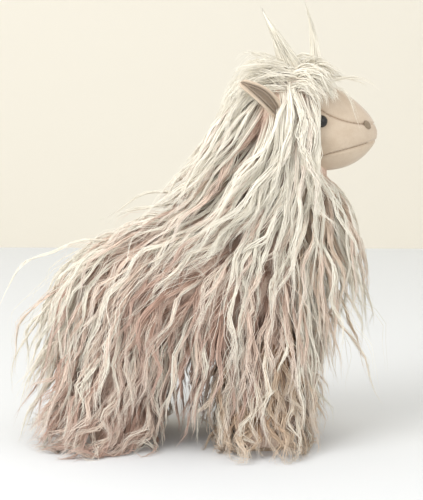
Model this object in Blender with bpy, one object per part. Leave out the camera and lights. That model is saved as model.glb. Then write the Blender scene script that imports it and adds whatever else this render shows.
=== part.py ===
"""A standing plush llama with a long shaggy coat, modelled piece by piece as it is sewn and stuffed."""

import math
import random

import bmesh
import bpy
import numpy as np
from mathutils import Matrix, Vector

MM = 0.001

# Torso: an egg of filling that lies along X, with its middle over x = 0
TORSO_LENGTH = 168 * MM
TORSO_WIDTH = 92 * MM
TORSO_HEIGHT = 94 * MM
BELLY_HEIGHT = 64 * MM

# Neck: an egg that leans forward between the torso and the head
NECK_LENGTH = 150 * MM
NECK_DEPTH = 74 * MM
NECK_WIDTH = 64 * MM
NECK_FORWARD = 60 * MM
NECK_RISE = 67 * MM
NECK_LEAN = math.radians(5)

# Head: widest and highest over HEAD_FORWARD, rounded behind and drawn out to the muzzle in front
SKULL_LENGTH = 45 * MM
MUZZLE_LENGTH = 54 * MM
HEAD_HEIGHT = 67 * MM
HEAD_WIDTH = 60 * MM
HEAD_FORWARD = 79 * MM
HEAD_RISE = 122 * MM
MUZZLE_DROP = 8 * MM
SKULL_ROUNDING = 0.5
MUZZLE_ROUNDING = 0.6

# Legs: four short stumps, upright eggs that are cut off at flat soles
LEG_DEPTH = 50 * MM
LEG_WIDTH = 42 * MM
LEG_LENGTH = 128 * MM
LEG_MIDDLE = 40 * MM
FRONT_LEG_FORWARD = 52 * MM
REAR_LEG_BACK = 54 * MM
LEG_SPREAD = 48 * MM
SOLE_THICKNESS = 2.5 * MM
SOLE_INSET = 1.5 * MM

# Cloths and the gaps between pieces that touch
COAT_CLOTH = 4 * MM
FACE_CLOTH = 1.8 * MM
CLEARANCE = 0.3 * MM

# Face seams, in side view: heights above the head's middle line
FACE_EDGE = 3.5 * MM
UPPER_SEAM_BACK = 16 * MM
UPPER_SEAM_FRONT = 7 * MM
UPPER_SEAM_CURVE = 2.6
LOWER_SEAM_BACK = -26 * MM
LOWER_SEAM_FRONT = -12.5 * MM

# Eyes, each a bead with a shank through the cheek and a washer behind it
EYE_DIAMETER = 9.4 * MM
EYE_BULGE = 4 * MM
EYE_FORWARD = 12 * MM
EYE_RISE = 1.5 * MM
SHANK_DIAMETER = 3.2 * MM
SHANK_LENGTH = 6.5 * MM
SHANK_BEVEL = 0.4 * MM
WASHER_DIAMETER = 10 * MM
WASHER_THICKNESS = 1.2 * MM

# Nostrils: ovals of satin stitch
NOSTRIL_LENGTH = 6.4 * MM
NOSTRIL_HEIGHT = 5.2 * MM
NOSTRIL_THICKNESS = 0.9 * MM
NOSTRIL_FROM_TIP = 8.5 * MM
NOSTRIL_RISE = 6.5 * MM
NOSTRIL_TILT = math.radians(24)
NOSTRIL_GAP = 0.35 * MM

# Ears: leaves folded along their middle, open to the side
EAR_LENGTH = 36 * MM
EAR_ARM = 11 * MM
EAR_OPENING = math.radians(62)
EAR_BACK = 21 * MM
EAR_RISE = 9 * MM
EAR_PITCH = math.radians(140)
EAR_SPLAY = math.radians(18)
EAR_SHELL = 1.8 * MM
EAR_LINING = 1.2 * MM
EAR_LIP = 1.6 * MM
EAR_BOW = 3 * MM

# Weighted bag of beads that lies on the belly floor
BAG_LENGTH = 74 * MM
BAG_WIDTH = 62 * MM
BAG_HEIGHT = 30 * MM

# Locks of the coat: how far apart they grow, and how long they are where they grow
TORSO_SPACING = 25 * MM
NECK_SPACING = 22 * MM
HOOD_SPACING = 14 * MM
LEG_SPACING = 19 * MM
LOCK_FULLNESS = 0.78
LOCK_THICKNESS = 5 * MM
LOCK_TIP = 0.14
LOCK_STEP = 25 * MM
LOCK_STANDOFF = 4 * MM
CROWN_STANDOFF = 8 * MM
LOCK_LIMPNESS = 0.55
CROWN_LIMPNESS = 1.5
LOCK_LIFT = 0.3
LOCK_DROOP = 0.45
CROWN_DROOP = 0.9
TUFT_DROOP = -0.22
UNDERSIDE = -0.55
TOPSIDE = 0.35
LOCK_SCATTER = 0.14
CROWN_LOCK = 150 * MM
FRINGE_LOCK = 165 * MM
NAPE_LOCK = 104 * MM
CHEST_LOCK = 100 * MM
BACK_LOCK = 110 * MM
FLANK_LOCK = 90 * MM
RUMP_LOCK = 116 * MM
LEG_LOCK = 64 * MM
TUFT_LOCK = 56 * MM
FORELOCK = 32 * MM

# The way each part of the coat is combed: along X, out to the side and up
CROWN_SWEEP = (0.02, 0.08, -1)
FRINGE_SWEEP = (0.15, 0.08, -1)
NAPE_SWEEP = (-0.5, 0.1, -0.85)
CHEST_SWEEP = (0.3, 0.1, -1)
BACK_SWEEP = (-0.75, 0.25, -0.6)
FLANK_SWEEP = (-0.25, 0.05, -1)
RUMP_SWEEP = (-0.36, 0.1, -0.93)
FORELOCK_SWEEP = (0.9, 0.25, -0.25)
BACK_TUFT_SWEEP = (-0.9, 0.3, -0.1)

# Fringe that frames the face: how many locks each side, where its ring sits and the arc that it spans
FRINGE_COUNT = 8
FRINGE_SEAT = 7 * MM
FRINGE_TOP = math.radians(66)
FRINGE_JAW = math.radians(-34)

# Tufts on the crown: how far each stands before the head's middle, and its lean forward
CROWN_TUFTS = ((-13 * MM, -0.5), (-10 * MM, -0.3), (3 * MM, -0.2), (5 * MM, 0.05))
FORELOCK_LEAN = -0.22
BACK_TUFT_LEAN = -0.5
FORELOCK_SPREAD = 0.28

# How a lock hangs: how fast it bends over, how it droops towards its tip, how far off the cloth it lies
BODY_HANG = (LOCK_LIMPNESS, LOCK_DROOP, LOCK_STANDOFF)
CROWN_HANG = (CROWN_LIMPNESS, CROWN_DROOP, CROWN_STANDOFF)
TUFT_HANG = (LOCK_LIMPNESS, TUFT_DROOP, LOCK_STANDOFF)

FRAME_NAME = "llama_frame"


class Egg:
    """An ellipsoid, given by its middle, its three radii and its lean about Y."""

    def __init__(self, middle, radii, lean=0.0):
        self.middle = Vector(middle)
        self.radii = Vector(radii)
        self.turn = Matrix.Rotation(lean, 3, "Y")

    def grown(self, by):
        egg = Egg(self.middle, self.radii + Vector((by, by, by)))
        egg.turn = self.turn
        return egg

    def matrix(self):
        return Matrix.Translation(self.middle) @ self.turn.to_4x4() @ Matrix.Diagonal(self.radii.to_4d())

    def spot(self, direction):
        """The point of the surface over a direction, and the normal there."""
        local = Vector(a * b for a, b in zip(self.radii, direction))
        normal = Vector(a / b for a, b in zip(direction, self.radii))
        return self.middle + self.turn @ local, (self.turn @ normal).normalized()

    def distance(self, point):
        local = self.turn.transposed() @ (point - self.middle)
        scaled = Vector(a / b for a, b in zip(local, self.radii))
        steep = Vector(a / b for a, b in zip(scaled, self.radii))
        return scaled.length * (scaled.length - 1) / max(steep.length, 1e-9)


class Post:
    """A round post between two points, used where a lock has to keep off a leg, an ear or an eye."""

    def __init__(self, start, end, radius):
        self.start = Vector(start)
        self.run = Vector(end) - self.start
        self.radius = radius

    def distance(self, point):
        along = (point - self.start).dot(self.run) / max(self.run.length_squared, 1e-12)
        nearest = self.start + self.run * min(max(along, 0.0), 1.0)
        return (point - nearest).length - self.radius


TORSO_MIDDLE = BELLY_HEIGHT + TORSO_HEIGHT / 2
HEAD_MIDDLE = TORSO_MIDDLE + HEAD_RISE
TORSO = Egg((0, 0, TORSO_MIDDLE), (TORSO_LENGTH / 2, TORSO_WIDTH / 2, TORSO_HEIGHT / 2))
NECK = Egg(
    (NECK_FORWARD, 0, TORSO_MIDDLE + NECK_RISE),
    (NECK_DEPTH / 2, NECK_WIDTH / 2, NECK_LENGTH / 2),
    NECK_LEAN,
)
FACE_X = HEAD_FORWARD + FACE_EDGE
TIP_X = HEAD_FORWARD + MUZZLE_LENGTH
MUZZLE_MIDDLE = HEAD_MIDDLE - MUZZLE_DROP
HOOD_GROWTH = COAT_CLOTH - FACE_CLOTH
SIDES = {"right": -1, "left": 1}
LEGS = {
    f"{end}_{side}": Egg((x, sign * LEG_SPREAD / 2, LEG_MIDDLE), (LEG_DEPTH / 2, LEG_WIDTH / 2, LEG_LENGTH / 2))
    for end, x in (("front", FRONT_LEG_FORWARD), ("rear", -REAR_LEG_BACK))
    for side, sign in SIDES.items()
}
LEG_END = SOLE_THICKNESS + CLEARANCE

# Where the parts of the coat that are combed one way begin
THROAT_Z = HEAD_MIDDLE - HEAD_HEIGHT * 0.45
SADDLE_Z = TORSO_MIDDLE + TORSO_HEIGHT * 0.45
NAPE_X = NECK_FORWARD - NECK_DEPTH / 2
CROWN_X = HEAD_FORWARD - SKULL_LENGTH * 0.6
CHEST_X = NECK_FORWARD + NECK_DEPTH * 0.15
RUMP_X = -TORSO_LENGTH * 0.2


def head_section(share, grown=0.0):
    """The head's x, middle height, half width and half height; share runs from -1 behind to 1 in front."""
    front = share > 0
    x = HEAD_FORWARD + share * ((MUZZLE_LENGTH if front else SKULL_LENGTH) + grown)
    profile = max(1 - share * share, 0.0) ** (MUZZLE_ROUNDING if front else SKULL_ROUNDING)
    middle = MUZZLE_MIDDLE + MUZZLE_DROP * (1 - max(share, 0.0)) ** 1.5
    return x, middle, (HEAD_WIDTH / 2 + grown) * profile, (HEAD_HEIGHT / 2 + grown) * profile


def head_share(x):
    """How far along the head a place x is, from -1 behind to 1 in front."""
    ahead = x - HEAD_FORWARD
    return ahead / (MUZZLE_LENGTH if ahead > 0 else SKULL_LENGTH)


def head_spot(x, height, sign, grown=0.0):
    """The point of the head's side at x and a height over the middle line, and the normal there."""

    def side(at_x, at_height):
        _, middle, half_width, half_height = head_section(head_share(at_x), grown)
        above = (HEAD_MIDDLE + at_height - middle) / half_height
        return half_width * math.sqrt(max(1 - above * above, 0.0))

    step = 0.2 * MM
    point = Vector((x, sign * side(x, height), HEAD_MIDDLE + height))
    slope_x = (side(x + step, height) - side(x - step, height)) / (2 * step)
    slope_z = (side(x, height + step) - side(x, height - step)) / (2 * step)
    return point, Vector((-slope_x, sign, -slope_z)).normalized()


def material(name, colour, roughness, metallic=0.0):
    made = bpy.data.materials.new(name)
    made.use_nodes = True
    shader = made.node_tree.nodes["Principled BSDF"]
    shader.inputs["Base Color"].default_value = (*colour, 1)
    shader.inputs["Roughness"].default_value = roughness
    shader.inputs["Metallic"].default_value = metallic
    made.diffuse_color = (*colour, 1)
    return made


def add_object(name, mesh, surface=None, hidden=False):
    made = bpy.data.objects.new(name, mesh)
    bpy.context.scene.collection.objects.link(made)
    made.parent = bpy.data.objects[FRAME_NAME]
    if surface:
        made.data.materials.append(surface)
    if hidden:
        made.hide_render = True
        made.display_type = "WIRE"
    return made


def mesh_from(name, points, faces, smooth=True):
    made = bpy.data.meshes.new(name)
    made.from_pydata([tuple(p) for p in points], [], faces)
    shape = bmesh.new()
    shape.from_mesh(made)
    bmesh.ops.recalc_face_normals(shape, faces=shape.faces)
    bmesh.ops.triangulate(shape, faces=shape.faces)
    shape.to_mesh(made)
    shape.free()
    if smooth:
        made.shade_smooth()
        made.set_sharp_from_angle(angle=math.radians(50))
    return made


def egg_mesh(name, egg, around=18, along=10):
    shape = bmesh.new()
    bmesh.ops.create_uvsphere(shape, u_segments=around, v_segments=along, radius=1, matrix=egg.matrix())
    made = bpy.data.meshes.new(name)
    shape.to_mesh(made)
    shape.free()
    made.shade_smooth()
    return made


def loft_mesh(name, rings, closed_ends=True, smooth=True):
    """A skin over rings of points; a ring of one point closes an end."""
    points = []
    starts = []
    for ring in rings:
        starts.append(len(points))
        points.extend(ring)
    faces = []
    for k in range(len(rings) - 1):
        near, far = rings[k], rings[k + 1]
        around = max(len(near), len(far))
        for i in range(around):
            j = (i + 1) % around
            corners = [starts[k] + i % len(near), starts[k] + j % len(near)]
            corners += [starts[k + 1] + j % len(far), starts[k + 1] + i % len(far)]
            faces.append(list(dict.fromkeys(corners)))
    if closed_ends:
        for k in (0, len(rings) - 1):
            if len(rings[k]) > 2:
                faces.append([starts[k] + i for i in range(len(rings[k]))])
    return mesh_from(name, points, faces, smooth)


def head_mesh(name, grown=0.0, around=24, behind=4, ahead=8):
    """The whole head as a loft along X, grown outwards by an amount."""
    shares = [-math.cos(math.pi / 2 * i / behind) for i in range(behind)]
    shares += [math.sin(math.pi / 2 * i / ahead) for i in range(ahead + 1)]
    rings = []
    for share in shares:
        x, middle, half_width, half_height = head_section(share, grown)
        if abs(share) > 0.9999:
            rings.append([Vector((x, 0, middle))])
            continue
        turns = [2 * math.pi * i / around for i in range(around)]
        rings.append([Vector((x, half_width * math.cos(t), middle + half_height * math.sin(t))) for t in turns])
    return loft_mesh(name, rings)


def sole_mesh(name, leg, grown, low, high, sides=20):
    """An upright oval disc that follows the leg's outline where the coat ends."""
    share = math.sqrt(1 - ((leg.middle.z - LEG_END) / leg.radii.z) ** 2)
    across = [radius * share - SOLE_INSET + grown for radius in leg.radii.xy]
    middle = leg.middle.xy.to_3d()
    rings = []
    for z in (low, high):
        turns = [2 * math.pi * k / sides for k in range(sides)]
        rings.append([Vector((across[0] * math.cos(t), across[1] * math.sin(t), z)) + middle for t in turns])
    return loft_mesh(name, rings)


def turned_mesh(name, profile, foot, axis, sides=16):
    """A round piece from a profile of (distance along the axis, radius), standing at foot along axis."""
    turn = axis.to_track_quat("Z", "Y").to_matrix()
    rings = []
    for along, radius in profile:
        if radius < 1e-9:
            rings.append([foot + turn @ Vector((0, 0, along))])
            continue
        turns = [2 * math.pi * i / sides for i in range(sides)]
        rings.append([foot + turn @ Vector((radius * math.cos(t), radius * math.sin(t), along)) for t in turns])
    return loft_mesh(name, rings)


def prism_mesh(name, outline, low_y, high_y):
    """A side-view outline of (x, z) points, drawn out along Y."""
    rings = [[Vector((x, y, z)) for x, z in outline] for y in (low_y, high_y)]
    return loft_mesh(name, rings, smooth=False)


def combine(target, kind, tool, solver="EXACT"):
    """Adds a Boolean to target; the tool is a hidden object or a collection of them."""
    cut = target.modifiers.new(f"{kind.lower()}_{tool.name}", "BOOLEAN")
    cut.operation = kind
    cut.solver = solver
    if isinstance(tool, bpy.types.Collection):
        cut.operand_type = "COLLECTION"
        cut.collection = tool
    else:
        cut.object = tool
    return cut


def gather(name, tools):
    """A collection of hidden tools that cut or join as one."""
    group = bpy.data.collections.new(name)
    for tool in tools:
        group.objects.link(tool)
    return group


def hidden_tools():
    """The hidden shapes that cut and join the cloths and the filling."""
    tools = {}

    def keep(name, mesh):
        tools[name] = add_object(name, mesh, hidden=True)

    keep("neck_form", egg_mesh("neck_form", NECK))
    keep("hood_form", head_mesh("hood_form", HOOD_GROWTH))
    keep("torso_hollow", egg_mesh("torso_hollow", TORSO.grown(-COAT_CLOTH)))
    keep("neck_hollow", egg_mesh("neck_hollow", NECK.grown(-COAT_CLOTH)))
    keep("head_hollow", head_mesh("head_hollow", -FACE_CLOTH))
    for place, leg in LEGS.items():
        keep(f"leg_form_{place}", egg_mesh(f"leg_form_{place}", leg, 12, 9))
        keep(f"leg_hollow_{place}", egg_mesh(f"leg_hollow_{place}", leg.grown(-COAT_CLOTH), 12, 9))
        room = sole_mesh(f"sole_room_{place}", leg, CLEARANCE, -LEG_END, LEG_END)
        keep(f"sole_room_{place}", room)
    ground = [(x, z) for z in (-LEG_LENGTH, LEG_END) for x in (-TORSO_LENGTH, TORSO_LENGTH)]
    ground[2:] = reversed(ground[2:])
    keep("ground_slab", prism_mesh("ground_slab", ground, -TORSO_WIDTH, TORSO_WIDTH))
    reach = HEAD_HEIGHT + HEAD_WIDTH
    face_gap = [
        (FACE_X - CLEARANCE / 2, HEAD_MIDDLE - reach),
        (TIP_X + reach, HEAD_MIDDLE - reach),
        (TIP_X + reach, HEAD_MIDDLE + reach),
        (FACE_X - CLEARANCE / 2, HEAD_MIDDLE + reach),
    ]
    keep("face_slab", prism_mesh("face_slab", face_gap, -reach, reach))
    keep("face_room", head_mesh("face_room", CLEARANCE))
    combine(tools["face_room"], "INTERSECT", tools["face_slab"])
    combine(tools["hood_form"], "DIFFERENCE", tools["face_slab"])
    keep("ear_stop", head_mesh("ear_stop", CLEARANCE - FACE_CLOTH))
    for side, sign in SIDES.items():
        seat, outward = head_spot(HEAD_FORWARD + EYE_FORWARD, EYE_RISE, sign)
        radius = max(EYE_DIAMETER / 2, EYE_BULGE) + 2 * CLEARANCE
        keep(f"eye_room_{side}", egg_mesh(f"eye_room_{side}", Egg(seat + outward * CLEARANCE, (radius,) * 3)))
    return tools


def steered(heading, away, gap, standoff):
    """A heading with what would run into the nearest form taken out of it."""
    inward = heading.dot(away)
    if gap < 2 * standoff and inward < 0:
        heading = heading - away * inward
    return heading.normalized()


def clearance_of(point, forms):
    """The distance from a point to the nearest form, and the direction straight away from it."""
    nearest = min(forms, key=lambda form: form.distance(point))
    step = 0.5 * MM
    away = Vector(
        nearest.distance(point + step * axis) - nearest.distance(point - step * axis)
        for axis in (Vector((1, 0, 0)), Vector((0, 1, 0)), Vector((0, 0, 1)))
    )
    return nearest.distance(point), away.normalized()


def lock_course(root, outward, sweep, length, forms, hang, floor):
    """The middle line of a lock: out of the cloth, over into its sweep, then down round the body."""
    limpness, droop, standoff = hang
    course = [root - outward * COAT_CLOTH / 2]
    heading = outward * LOCK_LIFT + steered(sweep, outward, 0, standoff)
    steps = max(round(length / LOCK_STEP), 3)
    step = length / steps
    for k in range(1, steps + 1):
        heading = heading + sweep * limpness + Vector((0, 0, -droop * k / steps))
        if k > 1:
            gap, away = clearance_of(course[-1], forms)
            heading = steered(heading, away, gap, standoff)
        point = course[-1] + heading.normalized() * step
        gap, away = clearance_of(point, forms)
        if gap < standoff:
            point += away * (standoff - gap)
        point.z = max(point.z, floor)
        heading = (point - course[-1]).normalized()
        course.append(point)
    return course


def lock_rings(course, forms, width, thickness):
    """Three-sided rings along a lock: flat to the body, ridged outside, thin at its tip."""
    rings = []
    for k, point in enumerate(course):
        ahead = (course[min(k + 1, len(course) - 1)] - course[max(k - 1, 0)]).normalized()
        _, away = clearance_of(point, forms)
        across = ahead.cross(away)
        if across.length < 0.2:
            across = ahead.cross(Vector((1, 0, 0)))
        across.normalize()
        over = across.cross(ahead)
        share = k / (len(course) - 1)
        taper = LOCK_TIP + (1 - LOCK_TIP) * math.sin(math.pi * min(0.32 + 0.68 * share, 1.0)) ** 0.8
        half, thick = width * taper / 2, thickness * taper / 2
        corners = (across * half - over * thick / 2, over * thick, -across * half - over * thick / 2)
        rings.append([point + corner for corner in corners])
    floor = min(point.z for ring in rings for point in ring)
    rise = Vector((0, 0, max(CLEARANCE - floor, 0.0)))
    return [[point + rise for point in ring] for ring in rings]


def spread_spots(form, spacing):
    """Spots spread evenly over a form, one for each lock's share of its area."""
    count = round(egg_area(form) / spacing**2)
    golden = math.pi * (3 - math.sqrt(5))
    for k in range(count):
        height = 1 - 2 * (k + 0.5) / count
        level = math.sqrt(1 - height * height)
        yield form.spot(Vector((level * math.cos(golden * k), level * math.sin(golden * k), height)))


def egg_area(egg):
    """The surface of an ellipsoid, to about one per cent."""
    a, b, c = (radius**1.6 for radius in egg.radii)
    return 4 * math.pi * ((a * b + a * c + b * c) / 3) ** (1 / 1.6)


def hood_egg():
    """The hood as an egg, for spreading its locks."""
    length = SKULL_LENGTH + MUZZLE_LENGTH
    middle = (HEAD_FORWARD + (MUZZLE_LENGTH - SKULL_LENGTH) / 2, 0, HEAD_MIDDLE)
    return Egg(middle, (length / 2, HEAD_WIDTH / 2, HEAD_HEIGHT / 2)).grown(HOOD_GROWTH)


def combed(root, outward):
    """How the pile is combed at a spot: its sweep, its length and how it hangs."""
    side = math.copysign(1, root.y)
    if root.z > THROAT_Z and root.x > NAPE_X:
        if root.x > CROWN_X:
            sweep, length = CROWN_SWEEP, CROWN_LOCK
        else:
            sweep, length = NAPE_SWEEP, NAPE_LOCK
    elif root.x > CHEST_X:
        sweep, length = CHEST_SWEEP, CHEST_LOCK
    elif root.z > SADDLE_Z:
        sweep, length = BACK_SWEEP, BACK_LOCK
    elif root.x < RUMP_X:
        sweep, length = RUMP_SWEEP, RUMP_LOCK
    elif outward.z > TOPSIDE:
        sweep, length = BACK_SWEEP, BACK_LOCK
    else:
        sweep, length = FLANK_SWEEP, FLANK_LOCK
    along, out, up = sweep
    return Vector((along, out * side, up)), length, CROWN_HANG if sweep is CROWN_SWEEP else BODY_HANG


def lock_rings_of_coat(draw):
    """The rings of every lock of the coat."""
    hood = hood_egg()
    cloth = [TORSO, NECK, hood, *LEGS.values()]
    bare = [Post(*ear_line(sign), EAR_ARM * 1.2) for sign in SIDES.values()]
    for sign in SIDES.values():
        middle, _ = head_spot(HEAD_FORWARD + EYE_FORWARD, EYE_RISE, sign)
        bare.append(Post(middle, middle, EYE_DIAMETER * 0.8))
    forms = cloth + bare
    rings = []

    def grow(root, outward, spacing, sweep, length, hang=BODY_HANG):
        sweep = Vector(a + draw.uniform(-LOCK_SCATTER, LOCK_SCATTER) for a in sweep)
        floor = LOCK_THICKNESS * draw.uniform(0.4, 1.6) + CLEARANCE
        course = lock_course(root, outward, sweep, length * draw.uniform(0.86, 1.06), forms, hang, floor)
        width = spacing * LOCK_FULLNESS * draw.uniform(0.85, 1.15)
        rings.append(lock_rings(course, forms, width, LOCK_THICKNESS))

    for form, spacing in ((TORSO, TORSO_SPACING), (NECK, NECK_SPACING), (hood, HOOD_SPACING)):
        others = [other for other in cloth if other is not form]
        for root, outward in spread_spots(form, spacing):
            covered = min(other.distance(root) for other in others) < COAT_CLOTH
            on_face = form is hood and root.x > FACE_X - spacing / 3
            near_ear = min(post.distance(root) for post in bare) < 0
            if covered or on_face or near_ear or outward.z < UNDERSIDE:
                continue
            grow(root, outward, spacing, *combed(root, outward))
    for leg in LEGS.values():
        around = round(math.pi * LEG_DEPTH / LEG_SPACING)
        for k in range(around):
            turn = 2 * math.pi * k / around
            root, outward = leg.spot(Vector((math.cos(turn), math.sin(turn), 0.25)).normalized())
            if outward.y * leg.middle.y > -0.3 * abs(leg.middle.y):
                grow(root, outward, LEG_SPACING, Vector((0, 0, -1)) + outward * LOCK_LIFT, LEG_LOCK)
    for root, outward in fringe_spots():
        along, out, up = FRINGE_SWEEP
        sweep = Vector((along * (1 - outward.z), out * math.copysign(1, root.y), up))
        grow(root, outward, HOOD_SPACING, sweep, FRINGE_LOCK, CROWN_HANG)
    for lean, sweep in ((FORELOCK_LEAN, FORELOCK_SWEEP), (BACK_TUFT_LEAN, BACK_TUFT_SWEEP)):
        for place in (-2, -1, 0, 1, 2):
            root, outward = hood.spot(Vector((lean, place * FORELOCK_SPREAD, 1)).normalized())
            along, out, up = sweep
            grow(root, outward, HOOD_SPACING, Vector((along, out * place, up)), FORELOCK)
    for forward, lean in CROWN_TUFTS:
        x, middle, _, half_height = head_section(head_share(HEAD_FORWARD + forward), HOOD_GROWTH)
        root = Vector((x, forward / 4, middle + half_height))
        up = Vector((lean, draw.uniform(-0.1, 0.1), 1))
        grow(root, Vector((0, 0, 1)), HOOD_SPACING, up, TUFT_LOCK, TUFT_HANG)
    return rings


def fringe_spots():
    """Spots on both sides of the hood's rim, from beside the crown down to the jaw."""
    x, middle, half_width, half_height = head_section(head_share(FACE_X - FRINGE_SEAT), HOOD_GROWTH)
    for sign in SIDES.values():
        for k in range(FRINGE_COUNT):
            turn = FRINGE_TOP + (FRINGE_JAW - FRINGE_TOP) * k / (FRINGE_COUNT - 1)
            across, up = math.cos(turn), math.sin(turn)
            root = Vector((x, sign * half_width * across, middle + half_height * up))
            yield root, Vector((0, sign * across / half_width, up / half_height)).normalized()


def ear_line(sign):
    """The two ends of an ear's fold line."""
    base, outward = head_spot(HEAD_FORWARD - EAR_BACK, EAR_RISE, sign, HOOD_GROWTH)
    along = Vector((math.cos(EAR_PITCH), sign * math.sin(EAR_SPLAY), math.sin(EAR_PITCH))).normalized()
    start = base - outward * EAR_ARM / 2
    return start, start + along * EAR_LENGTH


def ear_mesh(name, sign, gap_in, thickness, lip):
    """A leaf folded along its middle, gap_in inside the outer cloth's fold and lip longer than its arm."""
    start, end = ear_line(sign)
    along = (end - start).normalized()
    outward = Vector((0, sign, 0))
    outward = (outward - along * outward.dot(along)).normalized()
    up = outward.cross(along).normalized()
    if up.z < 0:
        up = -up
    rings = []
    stations = 7
    for k in range(stations):
        share = k / (stations - 1)
        arm = EAR_ARM * (0.3 + 0.7 * math.sin(math.pi * (0.18 + 0.77 * share)) ** 0.8) + lip
        arm = max(arm - gap_in * math.cos(EAR_OPENING / 2), thickness)
        fold = start.lerp(end, share) + up * (EAR_BOW * math.sin(math.pi * share))
        fold += outward * gap_in
        half = EAR_OPENING / 2
        tips = [outward * math.cos(half) + up * (s * math.sin(half)) for s in (1, -1)]
        faces = [outward * math.sin(half) - up * (s * math.cos(half)) for s in (1, -1)]
        depth = thickness / math.sin(half)
        ring = [fold]
        ring.append(fold + tips[0] * arm)
        ring.append(fold + tips[0] * arm + faces[0] * thickness)
        ring.append(fold + outward * depth)
        ring.append(fold + tips[1] * arm + faces[1] * thickness)
        ring.append(fold + tips[1] * arm)
        rings.append(ring)
    beyond = along * max(-gap_in, 0.0)
    rings[0] = [point - beyond for point in rings[0]]
    rings[-1] = [point + beyond for point in rings[-1]]
    return loft_mesh(name, rings)


def seam_outlines():
    """Side-view outlines of the nose bridge, cheek and chin regions, half a clearance inside their seams."""
    half_gap = CLEARANCE / 2
    far = HEAD_HEIGHT
    steps = 10
    reach = [FACE_X + (TIP_X + far / 8 - FACE_X) * k / steps for k in range(steps + 1)]
    upper = []
    lower = []
    for x in reach:
        share = min((x - FACE_X) / (TIP_X - FACE_X), 1.0)
        rise = UPPER_SEAM_FRONT - MUZZLE_DROP
        height = rise + (UPPER_SEAM_BACK - rise) * (1 - share) ** UPPER_SEAM_CURVE
        upper.append((x, HEAD_MIDDLE + height))
        height = LOWER_SEAM_BACK + (LOWER_SEAM_FRONT - LOWER_SEAM_BACK) * share
        lower.append((x, HEAD_MIDDLE + height))
    back = FACE_X + half_gap

    def moved(line, by):
        return [(max(x, back), z + by) for x, z in line]

    top, bottom = HEAD_MIDDLE + far, HEAD_MIDDLE - far
    bridge = [*moved(upper, half_gap), (reach[-1], top), (back, top)]
    cheek = [*moved(lower, half_gap), *reversed(moved(upper, -half_gap))]
    chin = [(back, bottom), (reach[-1], bottom), *reversed(moved(lower, -half_gap))]
    return bridge, cheek, chin


def add_coat(tools, surface):
    """The long-pile cover: torso, neck, hood and legs in one skin, open at the face and the soles."""
    coat = add_object("coat", egg_mesh("coat", TORSO), surface)
    locks = [
        add_object(f"lock_{k + 1}", loft_mesh(f"lock_{k + 1}", rings), hidden=True)
        for k, rings in enumerate(lock_rings_of_coat(random.Random(7)))
    ]
    combine(coat, "UNION", gather("coat_legs", [tools[f"leg_form_{place}"] for place in LEGS]), "MANIFOLD")
    combine(coat, "DIFFERENCE", tools["ground_slab"], "MANIFOLD")
    combine(coat, "UNION", gather("coat_top", [tools["neck_form"], tools["hood_form"]]), "MANIFOLD")
    combine(coat, "UNION", gather("coat_locks", locks), "MANIFOLD")
    rooms = ["torso_hollow", "neck_hollow", "head_hollow", "face_room"]
    rooms += [f"{kind}_{place}" for kind in ("leg_hollow", "sole_room") for place in LEGS]
    rooms += [f"{kind}_{side}" for kind in ("ear_slot", "eye_room") for side in SIDES]
    combine(coat, "DIFFERENCE", gather("coat_hollows", [tools[name] for name in rooms]), "MANIFOLD")
    keep_main_body(coat)
    return coat


def keep_main_body(target):
    """Applies the Booleans and leaves out the crumbs that crossing locks cut off or shut in."""
    bpy.context.view_layer.update()
    whole = bpy.data.meshes.new_from_object(target.evaluated_get(bpy.context.evaluated_depsgraph_get()))
    target.modifiers.clear()
    shape = bmesh.new()
    shape.from_mesh(whole)
    left = set(shape.faces)
    bodies = []
    while left:
        body = []
        edge = [left.pop()]
        while edge:
            face = edge.pop()
            body.append(face)
            for side in face.edges:
                near = [link for link in side.link_faces if link in left and len(side.link_faces) == 2]
                left.difference_update(near)
                edge.extend(near)
        bodies.append(body)
    bodies.sort(key=len)
    crumbs = []
    for body in bodies[:-1]:
        own = set(body)
        if all(len(own.intersection(side.link_faces)) == 2 for face in body for side in face.edges):
            crumbs += body
    bmesh.ops.delete(shape, geom=crumbs, context="FACES")
    shape.to_mesh(whole)
    shape.free()
    whole.shade_smooth()
    whole.set_sharp_from_angle(angle=math.radians(50))
    target.data = whole


def add_face(tools, cloth):
    """The four short-pile panels that meet in the face's seams."""
    shell = head_mesh("face_panel")
    bridge, cheek, chin = seam_outlines()
    wide = HEAD_WIDTH
    half_gap = CLEARANCE / 2
    panels = {
        "nose_bridge": (bridge, -wide, wide),
        "cheek_right": (cheek, -wide, -half_gap),
        "cheek_left": (cheek, half_gap, wide),
        "chin": (chin, -wide, wide),
    }
    for name, (outline, low_y, high_y) in panels.items():
        panel = add_object(name, shell.copy(), cloth)
        region = add_object(f"{name}_region", prism_mesh(f"{name}_region", outline, low_y, high_y), hidden=True)
        combine(panel, "DIFFERENCE", tools["head_hollow"])
        combine(panel, "INTERSECT", region)
        if name.startswith("cheek"):
            combine(panel, "DIFFERENCE", tools["shank_room" + name.removeprefix("cheek")])


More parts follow.
